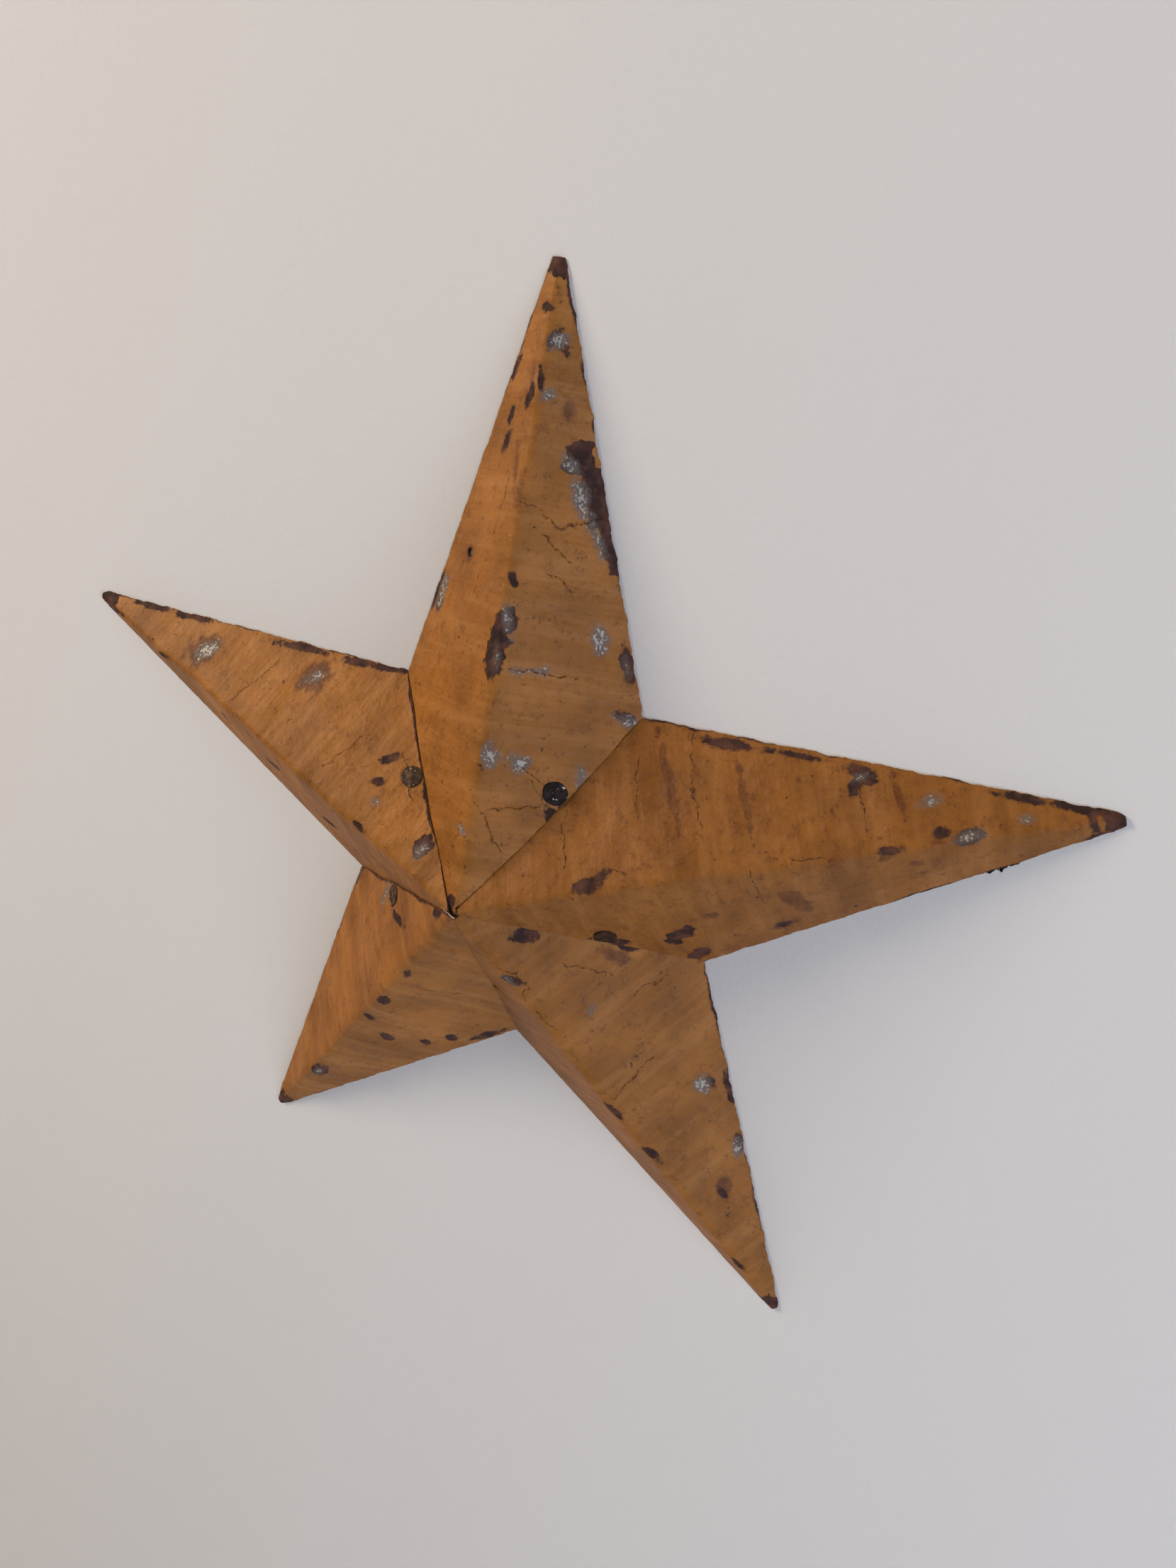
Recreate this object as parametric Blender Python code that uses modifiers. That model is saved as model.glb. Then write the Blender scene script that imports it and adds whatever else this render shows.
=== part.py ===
"""A hand-made barn star: five folded sheet-metal arms, lapped round the centre and held by one rivet at each seam,
with a strap and a swinging ring behind the top arm to hang it by.

Frame: the wall is the plane y = 0 and the star stands out from it along -Y. The top arm points along +Z, and the
origin is the star's centre on the wall. Lengths are metres. Bearings are degrees from +X towards +Z, so they grow
anticlockwise as the star is seen from the front.
"""

import math
from collections import namedtuple

import bmesh
import bpy
from mathutils import Matrix, Vector

MM = 0.001

# Overall sizes
STAR_RADIUS = 240 * MM  # centre to the end of a regular arm
NOTCH_RADIUS = 91.5 * MM  # centre to a regular notch between two arms
CENTRE_HEIGHT = 62 * MM  # wall to the point that the five ridges aim at
SHEET = 0.8 * MM
GAP = 0.3 * MM  # clearance between pieces that touch

# Each arm was cut and folded by hand, so its tip and notches are a little off the regular star.
Tip = namedtuple("Tip", "arm bearing reach")
TIPS = (
    Tip("arm_top", 89.3, STAR_RADIUS - 1 * MM),
    Tip("arm_left", 161.9, STAR_RADIUS + 1.5 * MM),
    Tip("arm_lower_left", 233.8, STAR_RADIUS - 6 * MM),
    Tip("arm_lower_right", 305.4, STAR_RADIUS + 1.5 * MM),
    Tip("arm_right", 18.4, STAR_RADIUS + 1.5 * MM),
)
# A notch lies between the arm of the same place in TIPS and the next one, anticlockwise.
Notch = namedtuple("Notch", "rivet bearing radius")
NOTCHES = (
    Notch("rivet_upper_left", 129.4, NOTCH_RADIUS + 2 * MM),
    Notch("rivet_lower_left", 199.5, NOTCH_RADIUS - 1.5 * MM),
    Notch("rivet_bottom", 270.6, NOTCH_RADIUS + 1.5 * MM),
    Notch("rivet_lower_right", 342.7, NOTCH_RADIUS),
    Notch("rivet_upper_right", 56.2, NOTCH_RADIUS - 1.5 * MM),
)

# Arms
TIP_WIDTH = 6 * MM  # across the blunt end of an arm
BEND_SETBACK = 1.0 * MM  # from a fold line to where its round bend starts
BEND_SEGMENTS = 3
CENTRE_OPENING = 4.8 * MM  # radius of the opening where the arms' trimmed corners meet
OPENING_SIDES = 10
EDGE_INSET = 0.4 * MM  # a lapped arm's edge from the seam line, between its lap and the centre
LAP_WIDTH = 15 * MM  # how far an arm's flap reaches under the next arm
LAP_START = 12 * MM  # centre point to the flap, along the seam
LAP_END = 6 * MM  # from the flap's outer end to the notch, along the seam
LAP_SLANT = math.radians(38)  # between the seam and the flap's inner end

# A small hole punched in the top arm
PUNCH_ALONG = 139 * MM  # from the centre point, along the ridge
PUNCH_INSET = 32 * MM  # from the ridge
PUNCH_RADIUS = 1.1 * MM

# Rivets
RIVET_ALONG = 63 * MM  # from the centre point, along the seam
RIVET_INSET = 5.5 * MM  # from the seam line
HEAD_RADIUS = 4.75 * MM
HEAD_HEIGHT = 1.2 * MM
SHANK_RADIUS = 2.4 * MM
TAIL_RADIUS = 3.6 * MM
TAIL_HEIGHT = 1.8 * MM
RIVET_STEPS = 24

# Hanging strap, across the hollow of the top arm
STRAP_RISE = 125 * MM  # from the star's centre up to the strap's middle
STRAP_DEPTH = 12 * MM  # from the wall to the strap's front face
STRAP_WIDTH = 12 * MM
STRAP_SHEET = 1.0 * MM
FOOT_LENGTH = 9 * MM
STRAP_SETBACK = 1.2 * MM
BRIDGE_LENGTH = 8 * MM  # along the ring's bar

# Hanging ring
WIRE_RADIUS = 1.25 * MM
RING_HALF_WIDTH = 10 * MM  # to the middle of the wire
RING_CORNER = 2.5 * MM
RING_LEG = 8 * MM  # from the bar to where the round top starts
RING_PLAY = 0.4 * MM  # between the ring's bar and the strap

CUTTER_REACH = 20 * MM  # how far a cutter passes what it cuts
OVERSIZE = 1.06  # an arm's blank before the wall and its tip are trimmed

CENTRE_POINT = Vector((0, -CENTRE_HEIGHT, 0))


# ---------------------------------------------------------------- scene, materials and small helpers


def clear_scene():
    for found in list(bpy.data.objects):
        bpy.data.objects.remove(found, do_unlink=True)


def new_collection(name):
    made = bpy.data.collections.new(name)
    bpy.context.scene.collection.children.link(made)
    return made


def new_material(name, colour, roughness, metallic):
    made = bpy.data.materials.new(name)
    made.use_nodes = True
    shader = made.node_tree.nodes["Principled BSDF"]
    shader.inputs["Base Color"].default_value = (*colour, 1)
    shader.inputs["Roughness"].default_value = roughness
    shader.inputs["Metallic"].default_value = metallic
    made.diffuse_color = (*colour, 1)
    return made


def new_object(name, data, collection, material=None):
    made = bpy.data.objects.new(name, data)
    collection.objects.link(made)
    if material:
        data.materials.append(material)
    return made


def on_wall(bearing, radius):
    """The point of the wall plane at this bearing and distance from the star's centre."""
    angle = math.radians(bearing)
    return Vector((radius * math.cos(angle), 0, radius * math.sin(angle)))


def facing(normal, place):
    """A placement at this point whose local Z is the normal."""
    turn = normal.to_track_quat("Z", "Y").to_matrix().to_4x4()
    return Matrix.Translation(place) @ turn


def new_cutter(name, bm, placement):
    """A hidden object from this bmesh, for Boolean modifiers."""
    mesh = bpy.data.meshes.new(name)
    bm.to_mesh(mesh)
    bm.free()
    made = new_object(name, mesh, CUTTERS)
    made.matrix_world = placement
    made.hide_render = True
    made.display_type = "WIRE"
    return made


def box_cutter(name, size, placement):
    bm = bmesh.new()
    bmesh.ops.create_cube(bm, size=1, matrix=Matrix.Diagonal((*size, 1)))
    return new_cutter(name, bm, placement)


def round_cutter(name, radius, length, sides, placement):
    bm = bmesh.new()
    bmesh.ops.create_cone(
        bm, cap_ends=True, segments=sides, radius1=radius, radius2=radius, depth=length
    )
    return new_cutter(name, bm, placement)


def combine(target, cutter, operation="DIFFERENCE"):
    boolean = target.modifiers.new(cutter.name, "BOOLEAN")
    boolean.operation = operation
    boolean.solver = "EXACT"
    boolean.object = cutter


def folded_sheet(name, points, faces, bends, setback, thickness, material):
    """Flat faces joined along bend lines, with round bends and the thickness behind them.

    points maps names to places, faces lists point names round each flat face, and bends lists pairs of names.
    """
    bm = bmesh.new()
    corners = {key: bm.verts.new(place) for key, place in points.items()}
    for face in faces:
        bm.faces.new([corners[key] for key in face])
    bm.normal_update()
    weights = bm.edges.layers.float.new("bevel_weight_edge")
    for start, end in bends:
        bm.edges.get((corners[start], corners[end]))[weights] = 1
    mesh = bpy.data.meshes.new(name)
    bm.to_mesh(mesh)
    bm.free()
    made = new_object(name, mesh, STAR, material)
    bend = made.modifiers.new("bends", "BEVEL")
    bend.limit_method = "WEIGHT"
    bend.width = setback
    bend.segments = BEND_SEGMENTS
    shell = made.modifiers.new("sheet", "SOLIDIFY")
    shell.thickness = thickness
    shell.offset = -1
    shell.use_even_offset = True
    return made


# ---------------------------------------------------------------- the star's lines and planes


class Facet:
    """One flat half of an arm, between its ridge and one of its notches."""

    def __init__(self, tip, notch):
        self.tip = tip
        self.notch = notch
        self.ridge = (tip - CENTRE_POINT).normalized()
        self.seam = (notch - CENTRE_POINT).normalized()
        self.seam_length = (notch - CENTRE_POINT).length
        normal = (tip - CENTRE_POINT).cross(notch - CENTRE_POINT).normalized()
        self.normal = normal if normal.y < 0 else -normal
        across = self.normal.cross(self.seam)
        self.inward = across if across.dot(self.ridge) > 0 else -across

    def at_seam(self, along, inset):
        """The point this far from the centre point along the seam, and this far into the facet."""
        return CENTRE_POINT + self.seam * along + self.inward * inset

    def at_ridge(self, along, inset):
        """The point this far along the ridge, and this far from it into the facet."""
        across = self.normal.cross(self.ridge)
        across = across if across.dot(self.seam) > 0 else -across
        return CENTRE_POINT + self.ridge * along + across * inset


def sharp_tip(tip, notches):
    """Where an arm's two outlines would meet if its end were not trimmed to TIP_WIDTH."""
    along = on_wall(tip.bearing, 1)
    across = on_wall(tip.bearing + 90, 1)
    reaches = []
    for notch in notches:
        place = on_wall(notch.bearing, notch.radius)
        taper = (tip.reach - place.dot(along)) / (abs(place.dot(across)) - TIP_WIDTH / 2)
        reaches.append(tip.reach + taper * TIP_WIDTH / 2)
    return on_wall(tip.bearing, sum(reaches) / 2)


def facets_of(index):
    """An arm's clockwise and anticlockwise facets."""
    clockwise, anticlockwise = NOTCHES[index - 1], NOTCHES[index]
    tip = sharp_tip(TIPS[index], (clockwise, anticlockwise))
    return [Facet(tip, on_wall(notch.bearing, notch.radius)) for notch in (clockwise, anticlockwise)]


def lap_setbacks(under, over):
    """For two facets that meet in a seam, how far the under one runs past the seam line before its flap folds,
    and how far short of the seam line the edge of the over one stops."""
    cosine = under.normal.dot(over.normal)
    sine = math.sqrt(1 - cosine**2)
    return (SHEET + GAP) / sine, (GAP + SHEET * cosine) / sine


# ---------------------------------------------------------------- arms


def build_arm(index):
    """One folded arm, whose clockwise edge lies over the arm before it and whose flap lies under the next arm."""
    over, under = facets_of(index)
    next_over = facets_of((index + 1) % len(TIPS))[0]
    before_under = facets_of(index - 1)[1]
    fold = lap_setbacks(under, next_over)[0]
    edge = lap_setbacks(before_under, over)[1]
    beyond = OVERSIZE * (over.tip - CENTRE_POINT).length
    corner = CENTRE_OPENING - GAP
    lap_stop = under.seam_length - LAP_END
    past_slant = LAP_WIDTH / math.tan(LAP_SLANT)
    inner_fold = under.at_seam(LAP_START, -fold)
    outer_fold = under.at_seam(lap_stop, -fold)
    points = {
        "ridge_start": over.at_ridge(corner, 0),
        "ridge_end": over.at_ridge(beyond, 0),
        "over_end": over.at_seam(OVERSIZE * over.seam_length, edge),
        "over_start": over.at_seam(corner, edge),
        "under_end": under.at_seam(OVERSIZE * under.seam_length, -fold),
        "outer_fold": outer_fold,
        "inner_fold": inner_fold,
        "under_step": under.at_seam(LAP_START, EDGE_INSET),
        "under_start": under.at_seam(corner, EDGE_INSET),
        "flap_outer": outer_fold + next_over.inward * LAP_WIDTH,
        "flap_inner": inner_fold + next_over.inward * LAP_WIDTH + under.seam * past_slant,
    }
    faces = (
        ("ridge_start", "over_start", "over_end", "ridge_end"),
        (
            "ridge_start",
            "ridge_end",
            "under_end",
            "outer_fold",
            "inner_fold",
            "under_step",
            "under_start",
        ),
        ("inner_fold", "outer_fold", "flap_outer", "flap_inner"),
    )
    bends = (("ridge_start", "ridge_end"), ("inner_fold", "outer_fold"))
    name = TIPS[index].arm
    arm = folded_sheet(name, points, faces, bends, BEND_SETBACK, SHEET, PAINTED)
    combine(arm, WALL_CUTTER)
    combine(arm, CENTRE_CUTTER)
    combine(arm, tip_cutter(TIPS[index]))
    return arm


def tip_cutter(tip):
    depth = 2 * (CENTRE_HEIGHT + CUTTER_REACH)
    size = (OVERSIZE * STAR_RADIUS, depth, STAR_RADIUS)
    turn = Matrix.Rotation(-math.radians(tip.bearing), 4, "Y")
    place = Matrix.Translation(on_wall(tip.bearing, tip.reach + size[0] / 2))
    return box_cutter(tip.arm + "_end_cut", size, place @ turn)


def punch_hole(arm):
    """The small round hole in the anticlockwise half of the top arm."""
    facet = facets_of(0)[1]
    placement = facing(facet.normal, facet.at_ridge(PUNCH_ALONG, PUNCH_INSET))
    combine(arm, round_cutter("punched_hole", PUNCH_RADIUS, CUTTER_REACH, 12, placement))


# ---------------------------------------------------------------- rivets


def rivet_profile():
    """The half outline of a set rivet, from the top of its head down to the end of its tail.

    Zero is the outer face of the upper sheet."""
    grip = 2 * SHEET + GAP
    top = GAP + HEAD_HEIGHT
    tail = -grip - GAP
    return (
        (0, top),
        (0.62 * HEAD_RADIUS, top - 0.06 * HEAD_HEIGHT),
        (0.88 * HEAD_RADIUS, top - 0.28 * HEAD_HEIGHT),
        (HEAD_RADIUS, top - 0.7 * HEAD_HEIGHT),
        (HEAD_RADIUS, GAP),
        (SHANK_RADIUS, GAP),
        (SHANK_RADIUS, tail),
        (TAIL_RADIUS, tail),
        (TAIL_RADIUS, tail - 0.45 * TAIL_HEIGHT),
        (0.75 * TAIL_RADIUS, tail - 0.85 * TAIL_HEIGHT),
        (0, tail - TAIL_HEIGHT),
    )


def build_rivet(index, arms):
    """The rivet of one seam and its hole through the two lapped arms."""
    over_index = (index + 1) % len(TIPS)
    facet = facets_of(over_index)[0]
    placement = facing(facet.normal, facet.at_seam(RIVET_ALONG, RIVET_INSET))
    name = NOTCHES[index].rivet
    profile = rivet_profile()
    mesh = bpy.data.meshes.new(name)
    places = [(radius, 0, height) for radius, height in profile]
    mesh.from_pydata(places, [(i, i + 1) for i in range(len(places) - 1)], [])
    rivet = new_object(name, mesh, STAR, RIVET_STEEL)
    rivet.matrix_world = placement
    turned = rivet.modifiers.new("turned", "SCREW")
    turned.steps = RIVET_STEPS
    turned.render_steps = RIVET_STEPS
    turned.use_merge_vertices = True
    turned.merge_threshold = 0.00001
    hole = round_cutter(name + "_hole", SHANK_RADIUS + GAP, CUTTER_REACH, RIVET_STEPS, placement)
    combine(arms[index], hole)
    combine(arms[over_index], hole)
    return rivet


# ---------------------------------------------------------------- hanging strap and ring


def inside_at(facet, depth, rise):
    """Where the plane a gap inside a facet's sheet crosses this depth from the wall and this rise."""
    level = facet.normal.dot(CENTRE_POINT) - SHEET - GAP
    across = (level + facet.normal.y * depth - facet.normal.z * rise) / facet.normal.x
    return Vector((across, -depth, rise))


def build_strap():
    """A strip across the top arm's hollow, its two feet lying on the inside of the arm, with a raised bridge
    in its middle for the ring's bar."""
    facets = facets_of(0)
    points = {}
    for side, facet in zip(("right", "left"), facets):
        outward = Vector((-facet.normal.y, facet.normal.x, 0)).normalized()
        outward = outward if outward.y > 0 else -outward
        for level, offset in (("low", -STRAP_WIDTH / 2), ("high", STRAP_WIDTH / 2)):
            bend = inside_at(facet, STRAP_DEPTH, STRAP_RISE + offset)
            points[f"{side}_{level}"] = bend
            points[f"{side}_foot_{level}"] = bend + outward * FOOT_LENGTH
    faces = (
        ("left_low", "right_low", "right_high", "left_high"),
        ("right_low", "right_foot_low", "right_foot_high", "right_high"),
        ("left_foot_low", "left_low", "left_high", "left_foot_high"),
    )
    bends = (("left_low", "left_high"), ("right_low", "right_high"))
    strap = folded_sheet("hanger_strap", points, faces, bends, STRAP_SETBACK, STRAP_SHEET, ZINC)
    inner = 2 * WIRE_RADIUS + 2 * RING_PLAY
    back_face = Vector((0, STRAP_SHEET - STRAP_DEPTH, STRAP_RISE))
    along_x = facing(Vector((1, 0, 0)), back_face)
    bridge = round_cutter("bridge", inner + STRAP_SHEET, BRIDGE_LENGTH, 32, along_x)
    half = (2 * CUTTER_REACH, 2 * CUTTER_REACH, 2 * CUTTER_REACH)
    front = Matrix.Translation(back_face - Vector((0, CUTTER_REACH + STRAP_SHEET / 2, 0)))
    combine(bridge, box_cutter("bridge_front", half, front))
    combine(strap, bridge, "UNION")
    tunnel = round_cutter("bridge_tunnel", inner, BRIDGE_LENGTH + GAP, 32, along_x)
    combine(strap, tunnel)
    return strap


def ring_outline():
    """The middle line of the ring's wire: a straight bar, two legs and a round top, from the bar's middle."""
    half, corner = RING_HALF_WIDTH, RING_CORNER
    arcs = (
        (half - corner, corner, corner, -90, 0, 4),
        (0, RING_LEG, half, 0, 180, 16),
        (corner - half, corner, corner, 180, 270, 4),
    )
    places = []
    for x, z, radius, start, stop, steps in arcs:
        for step in range(steps + 1):
            angle = math.radians(start + (stop - start) * step / steps)
            places.append((x + radius * math.cos(angle), 0, z + radius * math.sin(angle)))
    return places


def build_ring():
    """The D-shaped wire ring, whose origin is the middle of its bar and so on its hinge axis."""
    curve = bpy.data.curves.new("hanger_ring", "CURVE")
    curve.dimensions = "3D"
    curve.bevel_depth = WIRE_RADIUS
    curve.bevel_resolution = 2
    places = ring_outline()
    spline = curve.splines.new("POLY")
    spline.points.add(len(places) - 1)
    for point, place in zip(spline.points, places):
        point.co = (*place, 1)
    spline.use_cyclic_u = True
    ring = new_object("hanger_ring", curve, STAR, WIRE_STEEL)
    behind = WIRE_RADIUS + RING_PLAY
    ring.location = (0, STRAP_SHEET - STRAP_DEPTH + behind, STRAP_RISE)
    return ring


# ---------------------------------------------------------------- the whole star

clear_scene()
STAR = new_collection("barn_star")
CUTTERS = new_collection("cutters")

PAINTED = new_material("ochre paint on sheet steel", (0.36, 0.16, 0.035), 0.5, 0.0)
RIVET_STEEL = new_material("dark rivet steel", (0.06, 0.045, 0.04), 0.45, 0.6)
ZINC = new_material("dull zinc-coated steel", (0.35, 0.35, 0.36), 0.5, 0.9)
WIRE_STEEL = new_material("drawn steel wire", (0.3, 0.29, 0.28), 0.35, 1.0)

WALL_SIZE = (4 * STAR_RADIUS, CENTRE_HEIGHT, 4 * STAR_RADIUS)
WALL_CUTTER = box_cutter("wall", WALL_SIZE, Matrix.Translation((0, CENTRE_HEIGHT / 2, 0)))
CENTRE_CUTTER = round_cutter(
    "centre_opening",
    CENTRE_OPENING,
    CENTRE_HEIGHT,
    OPENING_SIDES,
    facing(Vector((0, -1, 0)), CENTRE_POINT),
)

ARM_OBJECTS = [build_arm(index) for index in range(len(TIPS))]
punch_hole(ARM_OBJECTS[0])
for seam in range(len(NOTCHES)):
    build_rivet(seam, ARM_OBJECTS)
build_strap()
build_ring()
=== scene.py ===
"""The looks of a rustic barn star: five hand-folded arms of painted sheet steel, hung flat on a pale wall.

Frame: the wall is the plane y = 0, the star stands out from it along -Y and its top arm points along +Z.
Bearings are degrees from +X towards +Z, anticlockwise as the star is seen from the front. Lengths are
metres, and names that end in _mm are millimetres. A wear field is FAR_MM where there is no wear near.
"""

import logging
import math
from dataclasses import dataclass
from enum import Enum, IntEnum

import bpy
import numpy as np
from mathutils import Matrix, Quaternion, Vector


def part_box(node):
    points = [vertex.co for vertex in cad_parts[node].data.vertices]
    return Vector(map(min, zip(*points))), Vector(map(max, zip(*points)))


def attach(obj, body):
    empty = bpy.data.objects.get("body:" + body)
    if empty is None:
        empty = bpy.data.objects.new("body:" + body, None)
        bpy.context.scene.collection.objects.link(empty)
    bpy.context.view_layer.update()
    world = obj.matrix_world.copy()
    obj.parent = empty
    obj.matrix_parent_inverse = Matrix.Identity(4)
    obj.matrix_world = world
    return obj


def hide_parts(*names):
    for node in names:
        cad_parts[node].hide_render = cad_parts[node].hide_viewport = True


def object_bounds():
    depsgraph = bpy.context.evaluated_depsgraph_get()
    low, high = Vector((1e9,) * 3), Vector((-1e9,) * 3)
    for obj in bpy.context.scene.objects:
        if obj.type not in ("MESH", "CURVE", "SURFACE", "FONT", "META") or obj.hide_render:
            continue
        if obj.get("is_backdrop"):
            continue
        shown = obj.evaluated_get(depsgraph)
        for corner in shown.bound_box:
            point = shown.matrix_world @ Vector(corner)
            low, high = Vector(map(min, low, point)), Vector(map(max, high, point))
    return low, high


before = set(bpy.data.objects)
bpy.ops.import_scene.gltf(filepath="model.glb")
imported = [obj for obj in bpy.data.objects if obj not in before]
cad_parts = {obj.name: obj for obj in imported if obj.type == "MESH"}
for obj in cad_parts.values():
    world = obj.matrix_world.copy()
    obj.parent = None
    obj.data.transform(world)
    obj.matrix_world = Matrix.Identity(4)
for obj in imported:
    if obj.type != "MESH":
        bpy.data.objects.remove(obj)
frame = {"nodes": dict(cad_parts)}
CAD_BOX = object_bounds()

MM = 0.001
FAR_MM = 6.0
LOG = logging.getLogger("barn_star")


# --- helpers


class Seed(IntEnum):
    """Where each kind of unevenness starts its random draws."""

    DENTS = 5
    RIPPLES = 6
    CUT_EDGES = 40
    CURLS = 70
    CORNERS = 90
    SCARS = 200
    LUMPS = 300
    RIVETS = 500
    TABS = 801
    SLIVER_LINE = 802
    SLIVER_WIDTH = 803
    SOLDER = 810


def linear(hex_colour: str) -> tuple[float, float, float, float]:
    """Turns an sRGB hex colour into linear red, green, blue and an alpha of one.

    Args:
        hex_colour: Six hex digits.

    Returns:
        The linear colour.
    """
    parts = [int(hex_colour[i : i + 2], 16) / 255 for i in (0, 2, 4)]
    red, green, blue = (c / 12.92 if c <= 0.04045 else ((c + 0.055) / 1.055) ** 2.4 for c in parts)
    return red, green, blue, 1.0


def per_metre(size_mm: float) -> float:
    """The scale of a noise whose features are this many millimetres across."""
    return 1000.0 / size_mm


def unit(vector: np.ndarray) -> np.ndarray:
    """Vectors scaled to length one along their last axis."""
    return vector / np.linalg.norm(vector, axis=-1, keepdims=True)


def smooth(value: np.ndarray, low: float, high: float) -> np.ndarray:
    """Smoothstep: 0 at low, 1 at high, 3t^2 - 2t^3 between."""
    t = np.clip((value - low) / (high - low), 0.0, 1.0)
    return t * t * (3 - 2 * t)


def uneven(place: np.ndarray, seed: int, longest: float, shortest: float) -> np.ndarray:
    """A hand-made unevenness along one line, between about -1 and 1.

    A sum of nine sines whose wavelengths fall evenly from longest to shortest and whose heights go with the
    wavelength to the power 0.6, with phases from the seed.

    Args:
        place: Distances along the line.
        seed: Chooses the phases.
        longest: The longest wavelength.
        shortest: The shortest wavelength.

    Returns:
        The unevenness at each place.
    """
    waves = np.geomspace(longest, shortest, 9)
    heights = (waves / longest) ** 0.6
    phases = np.random.default_rng(seed).uniform(0, 2 * math.pi, waves.size)
    return (heights * np.sin(2 * math.pi * place[..., None] / waves + phases)).sum(-1) / heights.sum() * 1.8


def blotchy(x: np.ndarray, y: np.ndarray, seed: int, size: float) -> np.ndarray:
    """An unevenness over a plane, between about -1 and 1.

    A sum of fourteen plane sine waves in directions and phases from the seed, with wavelengths from twice
    the size down to a third of it.

    Args:
        x: First coordinate.
        y: Second coordinate.
        seed: Chooses the directions and phases.
        size: Typical width of a blotch.

    Returns:
        The unevenness at each point.
    """
    chance = np.random.default_rng(seed)
    waves = np.geomspace(2 * size, size / 3, 14)
    turns = chance.uniform(0, 2 * math.pi, waves.size)
    phases = chance.uniform(0, 2 * math.pi, waves.size)
    heights = (waves / waves[0]) ** 0.7
    total = np.zeros(np.broadcast(x, y).shape)
    for wave, turn, phase, height in zip(waves, turns, phases, heights):
        total += height * np.sin(2 * math.pi * (x * math.cos(turn) + y * math.sin(turn)) / wave + phase)
    return total / heights.sum() * 2.2


def rows_of_quads(first: np.ndarray, second: np.ndarray) -> np.ndarray:
    """Quads between two lines of vertex numbers that run the same way.

    Args:
        first: Vertex numbers of the first line.
        second: Vertex numbers of the second line.

    Returns:
        One row of four vertex numbers for each quad, facing first x (first to second).
    """
    return np.stack([first[:-1], first[1:], second[1:], second[:-1]], -1)


def grid_quads(numbers: np.ndarray) -> np.ndarray:
    """Quads of a grid of vertex numbers, facing (down the rows) x (along a row)."""
    corners = numbers[:-1, :-1], numbers[1:, :-1], numbers[1:, 1:], numbers[:-1, 1:]
    return np.stack(corners, -1).reshape(-1, 4)


def new_piece(
    name: str,
    points: np.ndarray,
    faces: list[list[int]],
    materials: list[bpy.types.Material],
    finish_of_face: np.ndarray | None = None,
    sharp_angle: float = 50.0,
) -> bpy.types.Object:
    """Makes a mesh object at the origin from points that are already in place.

    Args:
        name: The piece's name.
        points: Vertex places, one row each.
        faces: Vertex numbers round each face.
        materials: The piece's material slots.
        finish_of_face: Which slot each face takes, or None for the first.
        sharp_angle: Edges that bend more than this many degrees stay crisp.

    Returns:
        The new object.
    """
    mesh = bpy.data.meshes.new(name)
    mesh.from_pydata(points.tolist(), [], faces)
    for material in materials:
        mesh.materials.append(material)
    mesh.polygons.foreach_set("use_smooth", np.ones(len(mesh.polygons), bool))
    if finish_of_face is not None:
        mesh.polygons.foreach_set("material_index", finish_of_face.astype(np.int32))
    mesh.set_sharp_from_angle(angle=math.radians(sharp_angle))
    mesh.update()
    made = bpy.data.objects.new(name, mesh)
    bpy.context.scene.collection.objects.link(made)
    return made


def closed_of_revolution(
    radii: np.ndarray, heights: np.ndarray, steps: int
) -> tuple[np.ndarray, list[list[int]]]:
    """A closed turned shape about +Z, whose outline starts and ends on the axis.

    A point is (radius cos a, radius sin a, height) for the angle a round the axis.

    Args:
        radii: Radius of each ring between the poles.
        heights: Height of the top pole, of each ring, and of the bottom pole.
        steps: Points round each ring.

    Returns:
        Vertex places and faces, outward, with the two poles last.
    """
    angle = np.linspace(0, 2 * math.pi, steps, endpoint=False)
    rings = np.stack(
        [
            radii[:, None] * np.cos(angle),
            radii[:, None] * np.sin(angle),
            np.broadcast_to(heights[1:-1, None], (radii.size, steps)),
        ],
        -1,
    )
    numbers = np.arange(radii.size * steps).reshape(radii.size, steps)
    wrapped = np.concatenate([numbers, numbers[:, :1]], 1)
    top, bottom = numbers.size, numbers.size + 1
    points = np.concatenate([rings.reshape(-1, 3), [[0, 0, heights[0]], [0, 0, heights[-1]]]])
    faces = grid_quads(wrapped).tolist()
    faces += [[top, a, b] for a, b in zip(wrapped[0, :-1].tolist(), wrapped[0, 1:].tolist())]
    faces += [[bottom, b, a] for a, b in zip(wrapped[-1, :-1].tolist(), wrapped[-1, 1:].tolist())]
    return points, faces


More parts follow.
